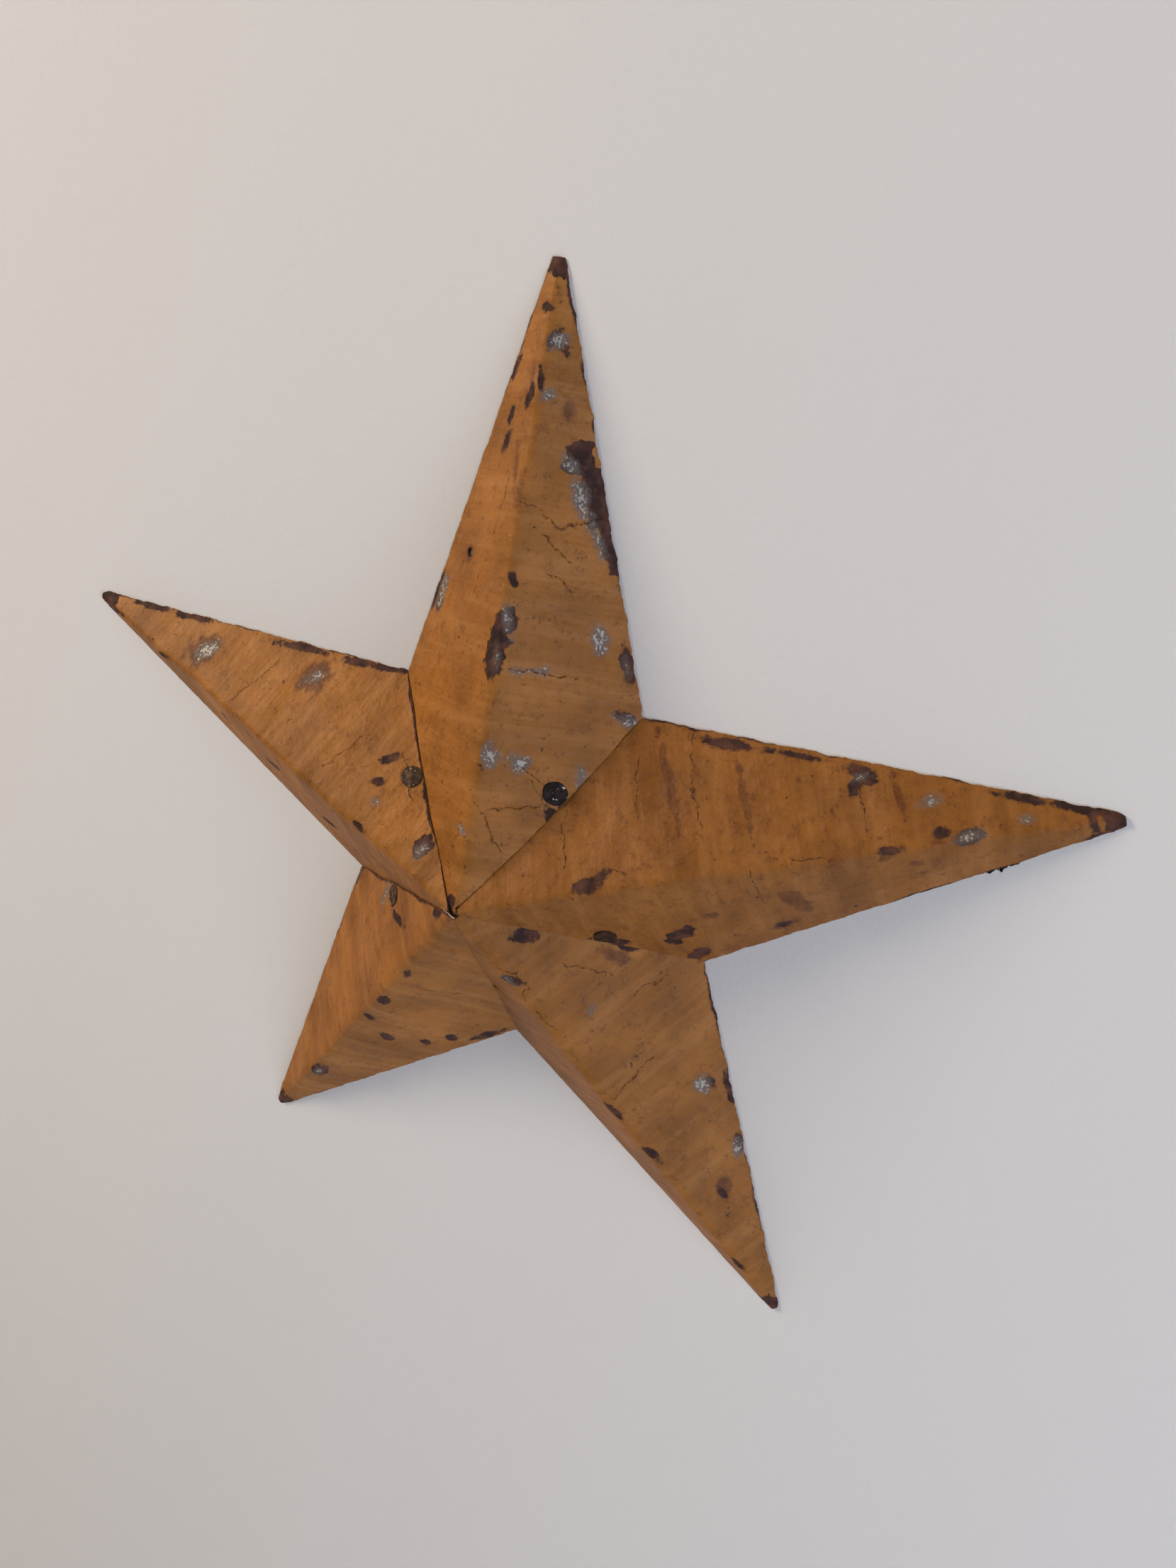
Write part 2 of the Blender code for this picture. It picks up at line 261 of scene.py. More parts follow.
def swept(
    middle: np.ndarray,
    across: np.ndarray,
    half_across: np.ndarray,
    half_up: float,
    steps: int,
    closed: bool,
) -> tuple[np.ndarray, list[list[int]]]:
    """An oval section carried along a middle line.

    With up = forward x across, a point is middle + (half_across cos a) across + (half_up sin a) up for the
    angle a round the section.

    Args:
        middle: Places of the middle line.
        across: Direction of the section's first half axis at each place.
        half_across: First half axis at each place.
        half_up: Second half axis.
        steps: Points round the section.
        closed: Whether the line ends where it starts.

    Returns:
        Vertex places and faces, outward.
    """
    forward = np.roll(middle, -1, 0) - np.roll(middle, 1, 0) if closed else np.gradient(middle, axis=0)
    forward = unit(forward)
    across = unit(across - (across * forward).sum(-1, keepdims=True) * forward)
    up = np.cross(forward, across)
    angle = np.linspace(0, 2 * math.pi, steps, endpoint=False)[None, :, None]
    points = middle[:, None] + half_across[:, None, None] * np.cos(angle) * across[:, None]
    points = points + half_up * np.sin(angle) * up[:, None]
    numbers = np.arange(len(middle) * steps).reshape(-1, steps)
    wrapped = np.concatenate([numbers, numbers[:, :1]], 1)
    if closed:
        wrapped = np.concatenate([wrapped, wrapped[:1]])
    faces = grid_quads(wrapped)[:, ::-1].tolist()
    if not closed:
        faces += [numbers[0, ::-1].tolist(), numbers[-1].tolist()]
    return points.reshape(-1, 3), faces


# --- the star's lines


class Side(Enum):
    """The two halves of a folded arm, as seen from the front."""

    CLOCKWISE = -1
    ANTICLOCKWISE = 1


@dataclass(frozen=True)
class Tip:
    """The end of one arm."""

    arm: str
    bearing: float
    reach_mm: float


@dataclass(frozen=True)
class Notch:
    """The inner corner between an arm and the next one, anticlockwise."""

    rivet: str
    bearing: float
    radius_mm: float


@dataclass(frozen=True)
class Facet:
    """One half of an arm: a plane between its ridge and one of its notches."""

    centre: np.ndarray
    ridge: np.ndarray
    across: np.ndarray
    normal: np.ndarray
    seam: np.ndarray
    inward: np.ndarray
    seam_length: float
    notch_along: float
    notch_across: float
    tip_along: float

    def seam_across(self, along: np.ndarray) -> np.ndarray:
        """Distance from the ridge to the seam line at a distance along the ridge."""
        return along * self.notch_across / self.notch_along

    def rim_across(self, along: np.ndarray) -> np.ndarray:
        """Distance from the ridge to the outer rim, which runs straight from the notch to the tip."""
        left = (self.tip_along - along) / (self.tip_along - self.notch_along)
        return self.notch_across * left

    def at_seam(self, along: float, inset: float) -> np.ndarray:
        """The point this far along the seam and this far into the facet from it."""
        return self.centre + self.seam * along + self.inward * inset


@dataclass(frozen=True)
class StarLines:
    """The lines and planes of the whole star, which the CAD part was built on."""

    centre_height: float = 62 * MM
    sheet: float = 0.8 * MM
    tip_width: float = 6 * MM
    tips: tuple[Tip, ...] = (
        Tip("arm_top", 89.3, 239),
        Tip("arm_left", 161.9, 241.5),
        Tip("arm_lower_left", 233.8, 234),
        Tip("arm_lower_right", 305.4, 241.5),
        Tip("arm_right", 18.4, 241.5),
    )
    notches: tuple[Notch, ...] = (
        Notch("rivet_upper_left", 129.4, 93.5),
        Notch("rivet_lower_left", 199.5, 90),
        Notch("rivet_bottom", 270.6, 93),
        Notch("rivet_lower_right", 342.7, 91.5),
        Notch("rivet_upper_right", 56.2, 90),
    )

    def on_wall(self, bearing: float, radius: float) -> np.ndarray:
        """The point of the wall plane at a bearing and distance from the centre."""
        angle = math.radians(bearing)
        return np.array([radius * math.cos(angle), 0.0, radius * math.sin(angle)])

    def notch_place(self, index: int) -> np.ndarray:
        """The notch after this arm, anticlockwise."""
        notch = self.notches[index % len(self.notches)]
        return self.on_wall(notch.bearing, notch.radius_mm * MM)

    def sharp_tip(self, index: int) -> np.ndarray:
        """Where an arm's two rims would meet if its end were not blunt.

        Args:
            index: The arm's place in the star.

        Returns:
            The mean of the two meeting points, on the wall plane.
        """
        tip = self.tips[index]
        outward = self.on_wall(tip.bearing, 1)
        sideways = self.on_wall(tip.bearing + 90, 1)
        reach = tip.reach_mm * MM
        meeting = []
        for place in (self.notch_place(index - 1), self.notch_place(index)):
            taper = (reach - place @ outward) / (abs(place @ sideways) - self.tip_width / 2)
            meeting.append(reach + taper * self.tip_width / 2)
        return self.on_wall(tip.bearing, sum(meeting) / 2)

    def facet(self, index: int, side: Side) -> Facet:
        """Works out one half of one arm.

        Args:
            index: The arm's place in the star.
            side: Which half.

        Returns:
            The facet's directions and lengths.
        """
        index %= len(self.tips)
        centre = np.array([0.0, -self.centre_height, 0.0])
        notch = self.notch_place(index if side is Side.ANTICLOCKWISE else index - 1)
        to_tip, to_notch = self.sharp_tip(index) - centre, notch - centre
        ridge, seam = unit(to_tip), unit(to_notch)
        normal = unit(np.cross(ridge, seam)) * side.value
        across = np.cross(normal, ridge) * side.value
        inward = -np.cross(normal, seam) * side.value
        return Facet(
            centre=centre,
            ridge=ridge,
            across=across,
            normal=normal,
            seam=seam,
            inward=inward,
            seam_length=float(np.linalg.norm(to_notch)),
            notch_along=float(to_notch @ ridge),
            notch_across=float(to_notch @ across),
            tip_along=float(np.linalg.norm(to_tip)),
        )


@dataclass(frozen=True)
class HandWork:
    """Slow dents and bowed seams from cutting and folding by hand.

    Every piece of the star passes through the same field, so sheets that lie on each other stay together.
    """

    lines: StarLines
    dent: float = 0.9 * MM
    dent_size: float = 42 * MM
    ripple: float = 0.16 * MM
    ripple_size: float = 13 * MM
    rivet_sink: float = 0.35 * MM
    rivet_spread: float = 7 * MM
    seam_bows: tuple[float, ...] = (0.9 * MM, -0.6 * MM, 1.2 * MM, 0.5 * MM, -1.7 * MM)
    seam_bow_width: float = 11 * MM
    flat_rim: float = 14 * MM
    rivet_along_seam: float = 63 * MM
    rivet_inset: float = 5.5 * MM

    def rivet_place(self, index: int) -> np.ndarray:
        """The middle of a seam's rivet on the upper sheet, before the dents."""
        return self.lines.facet(index + 1, Side.CLOCKWISE).at_seam(self.rivet_along_seam, self.rivet_inset)

    def bend(self, points: np.ndarray) -> np.ndarray:
        """Moves points of the star by the dents and bows.

        Depth changes by two blotchy waves that die away just above the wall, and by a dimple round each
        rivet. Near a seam, points slide sideways along the wall by the seam's bow, times a half sine along
        the seam and a bell curve across it.

        Args:
            points: Places before bending, one row each.

        Returns:
            The bent places.
        """
        x, y, z = points.T
        above = smooth(-y, 0, self.flat_rim)
        depth = self.dent * blotchy(x, z, Seed.DENTS, self.dent_size) * above
        depth += self.ripple * blotchy(x, z, Seed.RIPPLES, self.ripple_size) * above
        for index in range(len(self.lines.notches)):
            from_rivet = np.linalg.norm(points - self.rivet_place(index), axis=1)
            depth -= self.rivet_sink * np.exp(-((from_rivet / self.rivet_spread) ** 2))
        moved = points.copy()
        moved[:, 1] = y - depth
        for notch, bow in zip(self.lines.notches, self.seam_bows):
            outward = self.lines.on_wall(notch.bearing, 1)
            sideways = self.lines.on_wall(notch.bearing + 90, 1)
            share = np.clip(points @ outward / (notch.radius_mm * MM), 0, 1)
            bell = np.exp(-((points @ sideways / self.seam_bow_width) ** 2)) * np.sin(math.pi * share)
            moved += (bow * bell)[:, None] * sideways
        return moved


# --- finishes


Socket = bpy.types.NodeSocket


class NodeBench:
    """A new material and its node tree while it is being wired."""

    def __init__(self, name: str) -> None:
        """Starts a material with its Principled shader, its output and Object coordinates."""
        self.material = bpy.data.materials.new(name)
        self.material.use_nodes = True
        self.tree = self.material.node_tree
        self.shader = self.tree.nodes["Principled BSDF"]
        self.place = self.add("TexCoord", out="Object")

    def add(self, kind: str, *inputs: object, out: int | str = 0, **settings: object) -> Socket:
        """Adds a node with its settings and links.

        Args:
            kind: The node's type, without the two words that every shader node's starts with.
            *inputs: Values of the first inputs, or outputs that they are linked to, in their order. A dict
                holds such values by the input's name or number.
            out: Which output to return.
            **settings: The node's own properties.

        Returns:
            The chosen output.
        """
        node = self.tree.nodes.new("ShaderNode" + kind)
        for key, value in settings.items():
            setattr(node, key, value)
        for number, value in enumerate(inputs):
            self.link(node, value if isinstance(value, dict) else {number: value})
        return node.outputs[out]

    def link(self, node: bpy.types.Node, inputs: dict) -> None:
        """Sets or links a node's inputs.

        Args:
            node: The node.
            inputs: Input name or number, to a value or to an output that it is linked to.
        """
        for key, value in inputs.items():
            if isinstance(value, Socket):
                self.tree.links.new(value, node.inputs[key])
            else:
                node.inputs[key].default_value = value

    def layered(self, base: Socket | str, *layers: tuple[Socket, Socket | str]) -> Socket:
        """Lays colours over each other.

        Args:
            base: The lowest colour.
            *layers: For each colour above it, from the lowest: how much it covers, and the colour.

        Returns:
            The colour that shows.
        """
        for share, over in layers:
            below, above = (linear(c) if isinstance(c, str) else c for c in (base, over))
            base = self.add("Mix", {0: share, 6: below, 7: above}, out=2, data_type="RGBA")
        return base


class Finish:
    """A surface finish, which makes one material."""

    name: str

    def make(self) -> bpy.types.Material:
        """Starts the material and has its nodes wired.

        Returns:
            The material.
        """
        bench = NodeBench(self.name)
        bench.link(bench.shader, self.wire(bench))
        return bench.material

    def wire(self, bench: NodeBench) -> dict[str, Socket | float]:
        """Adds the nodes to the bench, and says what goes into each of the shader's sockets."""
        raise NotImplementedError


@dataclass(frozen=True)
class OchrePaint(Finish):
    """Ochre oil paint, brushed by hand over red-brown primer on zinc-coated steel, scraped and chipped.

    To the eye: a satin mustard skin with faint brush streaks across each arm, brown specks, hairline
    cracks, and chips with a crisp step down to dark primer or to dull grey zinc, and a painted shadow in
    primer colour along each step.
    """

    name: str = "ochre oil paint, brushed and chipped"
    paint: str = "A96B29"
    paint_light: str = "C48648"
    paint_dull: str = "87541D"
    speck: str = "5E331A"
    primer: str = "35201B"
    primer_light: str = "5E3A2E"
    zinc: str = "B0A89C"
    zinc_dark: str = "6F635B"
    crack: str = "42240F"
    streak_mm: tuple[float, float] = (1.5, 34.0)
    band_mm: tuple[float, float] = (9.0, 70.0)
    mottle_mm: float = 26.0
    pock_mm: float = 5.5
    lump_mm: float = 5.0
    smudge_mm: float = 5.0
    edge_mm: float = 1.5
    speck_mm: float = 1.3
    fleck_mm: float = 1.1
    film_mm: float = 0.22

    def wire(self, bench: NodeBench) -> dict[str, Socket | float]:
        """Wires the paint from the piece's UV map, its wear and marks attributes, and Object coordinates.

        Args:
            bench: The material.

        Returns:
            What goes into the shader.
        """
        add, place = bench.add, bench.place
        wear, marks = (add("Attribute", out="Vector", attribute_name=name) for name in ("wear", "marks"))
        chip, rub, rim = add("SeparateXYZ", wear).node.outputs
        crack, crack_near, stain = add("SeparateXYZ", marks).node.outputs
        sizes = ((self.edge_mm, 3), (self.lump_mm, 2), (self.mottle_mm, 5), (self.fleck_mm, 2))
        fine, coarse, mottle, grain = (
            add("TexNoise", {"Vector": place, "Scale": per_metre(size), "Detail": detail})
            for size, detail in sizes
        )
        streak = self.along_brush(bench, self.streak_mm)
        line = self.crack_line(bench, crack, crack_near, fine, coarse)

        # Where the paint is gone: a distance in millimetres, made ragged by the two noises
        ragged = add("Math", fine, 2.1, -1.05, operation="MULTIPLY_ADD")
        ragged = add("Math", coarse, 2.6, ragged, operation="MULTIPLY_ADD")
        ragged = add("Math", ragged, 1.8, operation="SUBTRACT")
        chip_edge = add("Math", chip, ragged, operation="ADD")
        rim_bite = add("MapRange", mottle, 0.42, 0.68, -1.3, 0.9)
        rim_edge = add("Math", rim, rim_bite, operation="SUBTRACT")
        rim_edge = add("Math", ragged, 0.5, rim_edge, operation="MULTIPLY_ADD")
        pocks = {"Vector": place, "Scale": per_metre(self.pock_mm), "Detail": 3, "Roughness": 0.6}
        pock = add("Math", add("TexNoise", pocks), -18.0, 13.3, operation="MULTIPLY_ADD")
        edge = add("Math", chip_edge, rim_edge, operation="MINIMUM")
        edge = add("Math", edge, pock, operation="MINIMUM")
        bare = add("MapRange", edge, 0.12, -0.12)
        # Painted shadow: a band of primer colour on both sides of every edge where the paint is gone,
        # strongest at the edge, stands in for the shade of the paint's step
        step_shadow = add("Math", edge, operation="ABSOLUTE")
        step_shadow = add("MapRange", step_shadow, 0.1, 0.8, 0.55, 0.0)
        rusty = add("MapRange", coarse, 0.4, 0.66)

        # Zinc: a soft grey smear where the paint is thin, and bright flecks where it is rubbed through
        rub_edge = add("Math", ragged, 1.3, rub, operation="MULTIPLY_ADD")
        smear = add("MapRange", rub_edge, 0.9, -1.6, 0.0, 0.88)
        fleck = add("Math", grain, 14.0, -8.9, operation="MULTIPLY_ADD")
        fleck = add("Math", fleck, rub_edge, operation="SUBTRACT")
        fleck = add("MapRange", fleck, 0.5, 1.1, 0.0, 0.9)

        # Stains, and each arm's even darkening towards the speck colour, broken up by the two noises
        both = add("Math", fine, coarse, operation="ADD")
        broken = add("MapRange", both, 0.8, 1.2, 0.65, 1.0)
        speck_cover = add("Math", broken, stain, operation="MULTIPLY")

        colour = bench.layered(
            self.skin(bench, streak, coarse, mottle),
            (speck_cover, self.speck),
            (step_shadow, self.primer),
            (bare, bench.layered(self.primer, (rusty, self.primer_light))),
            (smear, self.zinc_dark),
            (fleck, self.zinc),
            (line, self.crack),
        )
        relief = 0.0
        rises_mm = ((bare, -self.film_mm), (streak, 0.16), (fine, 0.3), (coarse, 0.85), (line, -0.3))
        for part, rise_mm in rises_mm:
            relief = add("Math", part, rise_mm, relief, operation="MULTIPLY_ADD")
        gloss = add("MapRange", streak, 0.3, 0.7, 0.5, 0.64)
        return {
            "Base Color": colour,
            "Roughness": add("Mix", {0: bare, 2: gloss, 3: 0.74}),
            "Metallic": add("Math", fleck, 0.25, operation="MULTIPLY"),
            "Normal": add("Bump", {"Height": relief, "Distance": MM, "Strength": 0.85}, out="Normal"),
            "Specular IOR Level": 0.22,
        }

    def along_brush(self, bench: NodeBench, size_mm: tuple[float, float]) -> Socket:
        """A noise drawn out in the direction of the brush, which went across each arm.

        Args:
            bench: The material.
            size_mm: Width and length of a streak.

        Returns:
            The noise.
        """
        sheet = bench.add("UVMap", uv_map="sheet")
        stretch = (per_metre(size_mm[0]), per_metre(size_mm[1]), 0)
        drawn = bench.add("VectorMath", sheet, stretch, operation="MULTIPLY")
        return bench.add("TexNoise", {"Vector": drawn, "Scale": 1, "Detail": 3, "Roughness": 0.6})

    def skin(self, bench: NodeBench, streak: Socket, coarse: Socket, mottle: Socket) -> Socket:
        """The sound paint's colour: two ochres in clouds, light bands, dull streaks, smudges and specks.

        Args:
            bench: The material.
            streak: The brush noise.
            coarse: The noise of a few millimetres.
            mottle: The noise of a few centimetres.

        Returns:
            The colour.
        """
        add, place = bench.add, bench.place
        smudges = {"Vector": place, "Scale": per_metre(self.smudge_mm), "Detail": 5, "Roughness": 0.7}
        speckle = add("TexNoise", {"Vector": place, "Scale": per_metre(self.speck_mm), "Detail": 2})
        speckled = add("MapRange", speckle, 0.58, 0.72)
        gathered = add("MapRange", coarse, 0.46, 0.64, 0.12, 0.85)
        band = self.along_brush(bench, self.band_mm)
        return bench.layered(
            self.paint_dull,
            (add("MapRange", mottle, 0.34, 0.66), self.paint),
            (add("MapRange", band, 0.45, 0.74, 0.0, 0.5), self.paint_light),
            (add("MapRange", streak, 0.5, 0.78, 0.0, 0.35), self.paint_dull),
            (add("MapRange", add("TexNoise", smudges), 0.55, 0.72, 0.0, 0.5), self.speck),
            (add("Math", speckled, gathered, operation="MULTIPLY"), self.speck),
        )

    def crack_line(
        self, bench: NodeBench, offset: Socket, near: Socket, fine: Socket, coarse: Socket
    ) -> Socket:
        """Hairline cracks: narrow where the signed distance to a crack crosses zero close to it.

        Args:
            bench: The material.
            offset: Signed distance to the nearest crack's line, in millimetres.
            near: Distance to that crack, in millimetres.
            fine: The noise of a millimetre.
            coarse: The noise of a few millimetres.

        Returns:
            The strength of the cracks.
        """
        add = bench.add
        wander = add("Math", coarse, 6.0, -3.8, operation="MULTIPLY_ADD")
        wander = add("Math", fine, 1.6, wander, operation="MULTIPLY_ADD")
        wandered = add("Math", offset, wander, operation="ADD")
        away = add("Math", wandered, operation="ABSOLUTE")
        depth = add("MapRange", fine, 0.38, 0.6, 0.15, 1.0)
        line = add("MapRange", away, 0.08, 0.42, 0.95, 0.0)
        line = add("Math", line, depth, operation="MULTIPLY")
        close = add("MapRange", near, 2.2, 3.2, 1.0, 0.0)
        return add("Math", line, close, operation="MULTIPLY")


@dataclass(frozen=True)
class ShearedEdge(Finish):
    """The cut edge of the sheet: bare steel gone dark brown, with torn scraps of paint.

    To the eye: a thin dark line that is never quite even.
    """

    name: str = "sheared steel edge, browned"
    dark: str = "4A2B1D"
    light: str = "94622F"
    grain_mm: float = 2.2

    def wire(self, bench: NodeBench) -> dict[str, Socket | float]:
        """Wires the edge from one noise in Object coordinates.

        Args:
            bench: The material.

        Returns:
            What goes into the shader.
        """
        add = bench.add
        noise = add("TexNoise", {"Vector": bench.place, "Scale": per_metre(self.grain_mm), "Detail": 4})
        share = add("MapRange", noise, 0.4, 0.68)
        return {
            "Base Color": bench.layered(self.dark, (share, self.light)),
            "Roughness": 0.75,
            "Metallic": 0.2,
            "Normal": add("Bump", {"Height": noise, "Distance": 0.3 * MM}, out="Normal"),
        }


@dataclass(frozen=True)
class SheetInside(Finish):
    """The hollow side of the arms: zinc-coated sheet, never painted, dulled and streaked with primer.

    To the eye: soft grey spangle with brown runs and dust.
    """

    name: str = "dulled zinc-coated sheet"
    zinc: str = "86827D"
    zinc_dark: str = "615C58"
    primer: str = "5A3A30"
    dust: str = "A39A8C"
    spangle_mm: float = 7.0
    run_mm: float = 28.0
    grit_mm: float = 3.0

    def wire(self, bench: NodeBench) -> dict[str, Socket | float]:
        """Wires the spangle from cells, and the primer and dust from noises in Object coordinates.

        Args:
            bench: The material.

        Returns:
            What goes into the shader.
        """
        add, place = bench.add, bench.place
        cells = add("TexVoronoi", {"Vector": place, "Scale": per_metre(self.spangle_mm)}, out="Color")
        spangle = add("SeparateXYZ", cells, out=0)
        runs = {"Vector": place, "Scale": per_metre(self.run_mm), "Detail": 6, "Roughness": 0.65}
        primed = add("MapRange", add("TexNoise", runs), 0.5, 0.6, 0.0, 0.85)
        grit = add("TexNoise", {"Vector": place, "Scale": per_metre(self.grit_mm), "Detail": 5})
        dusty = add("MapRange", grit, 0.52, 0.75, 0.0, 0.6)
        layers = ((spangle, self.zinc), (primed, self.primer), (dusty, self.dust))
        return {
            "Base Color": bench.layered(self.zinc_dark, *layers),
            "Roughness": 0.62,
            "Metallic": add("MapRange", primed, 0.0, 0.85, 0.45, 0.0),
            "Normal": add("Bump", {"Height": grit, "Distance": 0.15 * MM}, out="Normal"),
        }


@dataclass(frozen=True)
class RivetFinish(Finish):
    """A hammered steel rivet: browned steel that kept more or less of its paint.

    To the eye: a dark disc with a worn, slightly shiny rim, or a painted disc with dark bites out of it.
    """

    name: str
    paint_share: float
    steel: str = "3E2C24"
    steel_worn: str = "6A5546"
    paint: str = "96682C"
    fleck: str = "C9C2B8"
    fleck_share: float = 0.0
    scratch_mm: float = 2.4
    nick_mm: float = 1.6
    patch_mm: float = 4.5

    def wire(self, bench: NodeBench) -> dict[str, Socket | float]:
        """Wires worn steel, bright flecks and a share of paint, from noises in Object coordinates.

        Args:
            bench: The material.

        Returns:
            What goes into the shader.
        """
        add = bench.add
        sizes = ((self.scratch_mm, 4), (self.nick_mm, 1), (self.patch_mm, 3))
        noise, nick, patches = (
            add("TexNoise", {"Vector": bench.place, "Scale": per_metre(size), "Detail": detail})
            for size, detail in sizes
        )
        worn = add("MapRange", noise, 0.45, 0.7)
        limit = 0.75 - 0.3 * self.fleck_share
        nicked = add("MapRange", nick, limit, limit + 0.04)
        limit = 0.78 - 0.56 * self.paint_share
        painted = add("MapRange", patches, limit - 0.02, limit + 0.02)
        relief = add("Math", painted, 0.6, noise, operation="MULTIPLY_ADD")
        layers = ((worn, self.steel_worn), (nicked, self.fleck), (painted, self.paint))
        return {
            "Base Color": bench.layered(self.steel, *layers),
            "Roughness": 0.68,
            "Metallic": add("MapRange", {0: painted, 3: 0.15, 4: 0.0}),
            "Normal": add("Bump", {"Height": relief, "Distance": 0.3 * MM}, out="Normal"),
            "Specular IOR Level": 0.18,
        }


@dataclass(frozen=True)
class PlainMetal(Finish):
    """A bare metal with a soft grain, for the hanger, its ring and its solder.

    To the eye: grey metal with cloudy dull patches and fine scratches along its length.
    """

    name: str
    bright: str
    dull: str
    cloud_mm: float
    roughness: float
    metallic: float = 0.9
    scratch_mm: tuple[float, float, float] = (12, 0.5, 0.5)

    def wire(self, bench: NodeBench) -> dict[str, Socket | float]:
        """Wires clouds and fine scratches in Object coordinates.

        Args:
            bench: The material.

        Returns:
            What goes into the shader.
        """
        add, place = bench.add, bench.place
        cloud = add("TexNoise", {"Vector": place, "Scale": per_metre(self.cloud_mm), "Detail": 5})
        share = add("MapRange", cloud, 0.35, 0.68)
        stretch = tuple(per_metre(size) for size in self.scratch_mm)
        drawn = add("VectorMath", place, stretch, operation="MULTIPLY")
        scratch = add("TexNoise", {"Vector": drawn, "Scale": 1, "Detail": 3})
        ends = {3: self.roughness + 0.12, 4: self.roughness - 0.06}
        return {
            "Base Color": bench.layered(self.dull, (share, self.bright)),
            "Roughness": add("MapRange", {0: cloud, 1: 0.3, 2: 0.7} | ends),
            "Metallic": self.metallic,
            "Normal": add("Bump", {"Height": scratch, "Distance": 0.08 * MM}, out="Normal"),
        }


@dataclass(frozen=True)
class RolledWall(Finish):
    """Matt emulsion, rolled on plaster.

    To the eye: an off-white with a faint stipple. It is open to the light and to the view from behind, so
    the star's hollow side can be looked at too.
    """

    name: str = "matt emulsion on plaster"
    colour: str = "E2DFDC"
    stipple_mm: float = 2.2

    def wire(self, bench: NodeBench) -> dict[str, Socket | float]:
        """Wires the stipple, and makes the far side clear.

        Args:
            bench: The material.

        Returns:
            What goes into the shader.
        """
        add = bench.add
        noise = add("TexNoise", {"Vector": bench.place, "Scale": per_metre(self.stipple_mm), "Detail": 2})
        behind, clear = add("NewGeometry", out="Backfacing"), add("BsdfTransparent")
        shown = add("MixShader", behind, bench.shader.outputs[0], clear)
        bench.link(bench.tree.nodes["Material Output"], {"Surface": shown})
        return {
            "Base Color": linear(self.colour),
            "Roughness": 0.9,
            "Normal": add("Bump", {"Height": noise, "Distance": 0.15 * MM}, out="Normal"),
        }


# --- arms


class Under(Enum):
    """What shows in a worn spot, by the name of the field that holds it."""

    PRIMER = "chip"
    ZINC = "zinc"
    STAIN = "stain"


@dataclass(frozen=True)
class Scar:
    """A worn spot of an arm: an oval that noise makes ragged.

    Along is from the centre point along the ridge. Across is from the ridge, positive on the anticlockwise
    half. The turn is from the ridge towards the positive side.
    """

    along_mm: float
    across_mm: float
    half_length_mm: float
    half_width_mm: float
    turn: float = 0.0

    def distance_mm(self, along_mm: np.ndarray, across_mm: np.ndarray) -> np.ndarray:
        """How far outside the oval a point is, negative inside.

        With u and v along the oval's two axes, it is (sqrt((u/a)^2 + (v/b)^2) - 1) b.

        Args:
            along_mm: Distances along the ridge.
            across_mm: Signed distances from the ridge.

        Returns:
            The distance in millimetres, near enough.
        """
        angle = math.radians(self.turn)
        du, dv = along_mm - self.along_mm, across_mm - self.across_mm
        u = du * math.cos(angle) + dv * math.sin(angle)
        v = dv * math.cos(angle) - du * math.sin(angle)
        return (np.hypot(u / self.half_length_mm, v / self.half_width_mm) - 1) * self.half_width_mm


@dataclass(frozen=True)
class Crack:
    """A hairline crack in the paint between two places of an arm."""

    along_mm: float
    across_mm: float
    end_along_mm: float
    end_across_mm: float

    def offsets_mm(self, along_mm: np.ndarray, across_mm: np.ndarray) -> tuple[np.ndarray, np.ndarray]:
        """Signed distance to the crack's line, and distance to the crack itself.

        Args:
            along_mm: Distances along the ridge.
            across_mm: Signed distances from the ridge.

        Returns:
            The two distances in millimetres.
        """
        run = np.array([self.end_along_mm - self.along_mm, self.end_across_mm - self.across_mm])
        length = float(np.linalg.norm(run))
        run = run / length
        du, dv = along_mm - self.along_mm, across_mm - self.across_mm
        t = du * run[0] + dv * run[1]
        side = dv * run[0] - du * run[1]
        past = np.maximum(np.maximum(-t, t - length), 0)
        return side, np.hypot(side, past)


@dataclass(frozen=True)
class ArmWear:
    """What cutting, hanging and years of weather left on one arm.

    Scars and cracks are rows of the numbers of a Scar and of a Crack, in their order. The seam's opening is
    how far the lapped edge stands off its seam line, and the seam's wear and shade is how far primer colour
    reaches in from that edge: partly paint flaked off it, partly painted shade of the dark gap beside it.
    Arm darkening is how much the whole arm is darkened towards the speck colour. A pit is a punched hole's
    place along and across, and a burr is a torn tooth's place along the clockwise rim and its size.
    """

    scars: dict[Under, tuple[tuple[float, ...], ...]]
    cracks: tuple[tuple[float, ...], ...]
    seam_open: float
    seam_wear_and_shade: float
    arm_darkening: float
    tip_round: float = 0.6
    pit: tuple[float, float] | None = None
    burr: tuple[float, float] | None = None


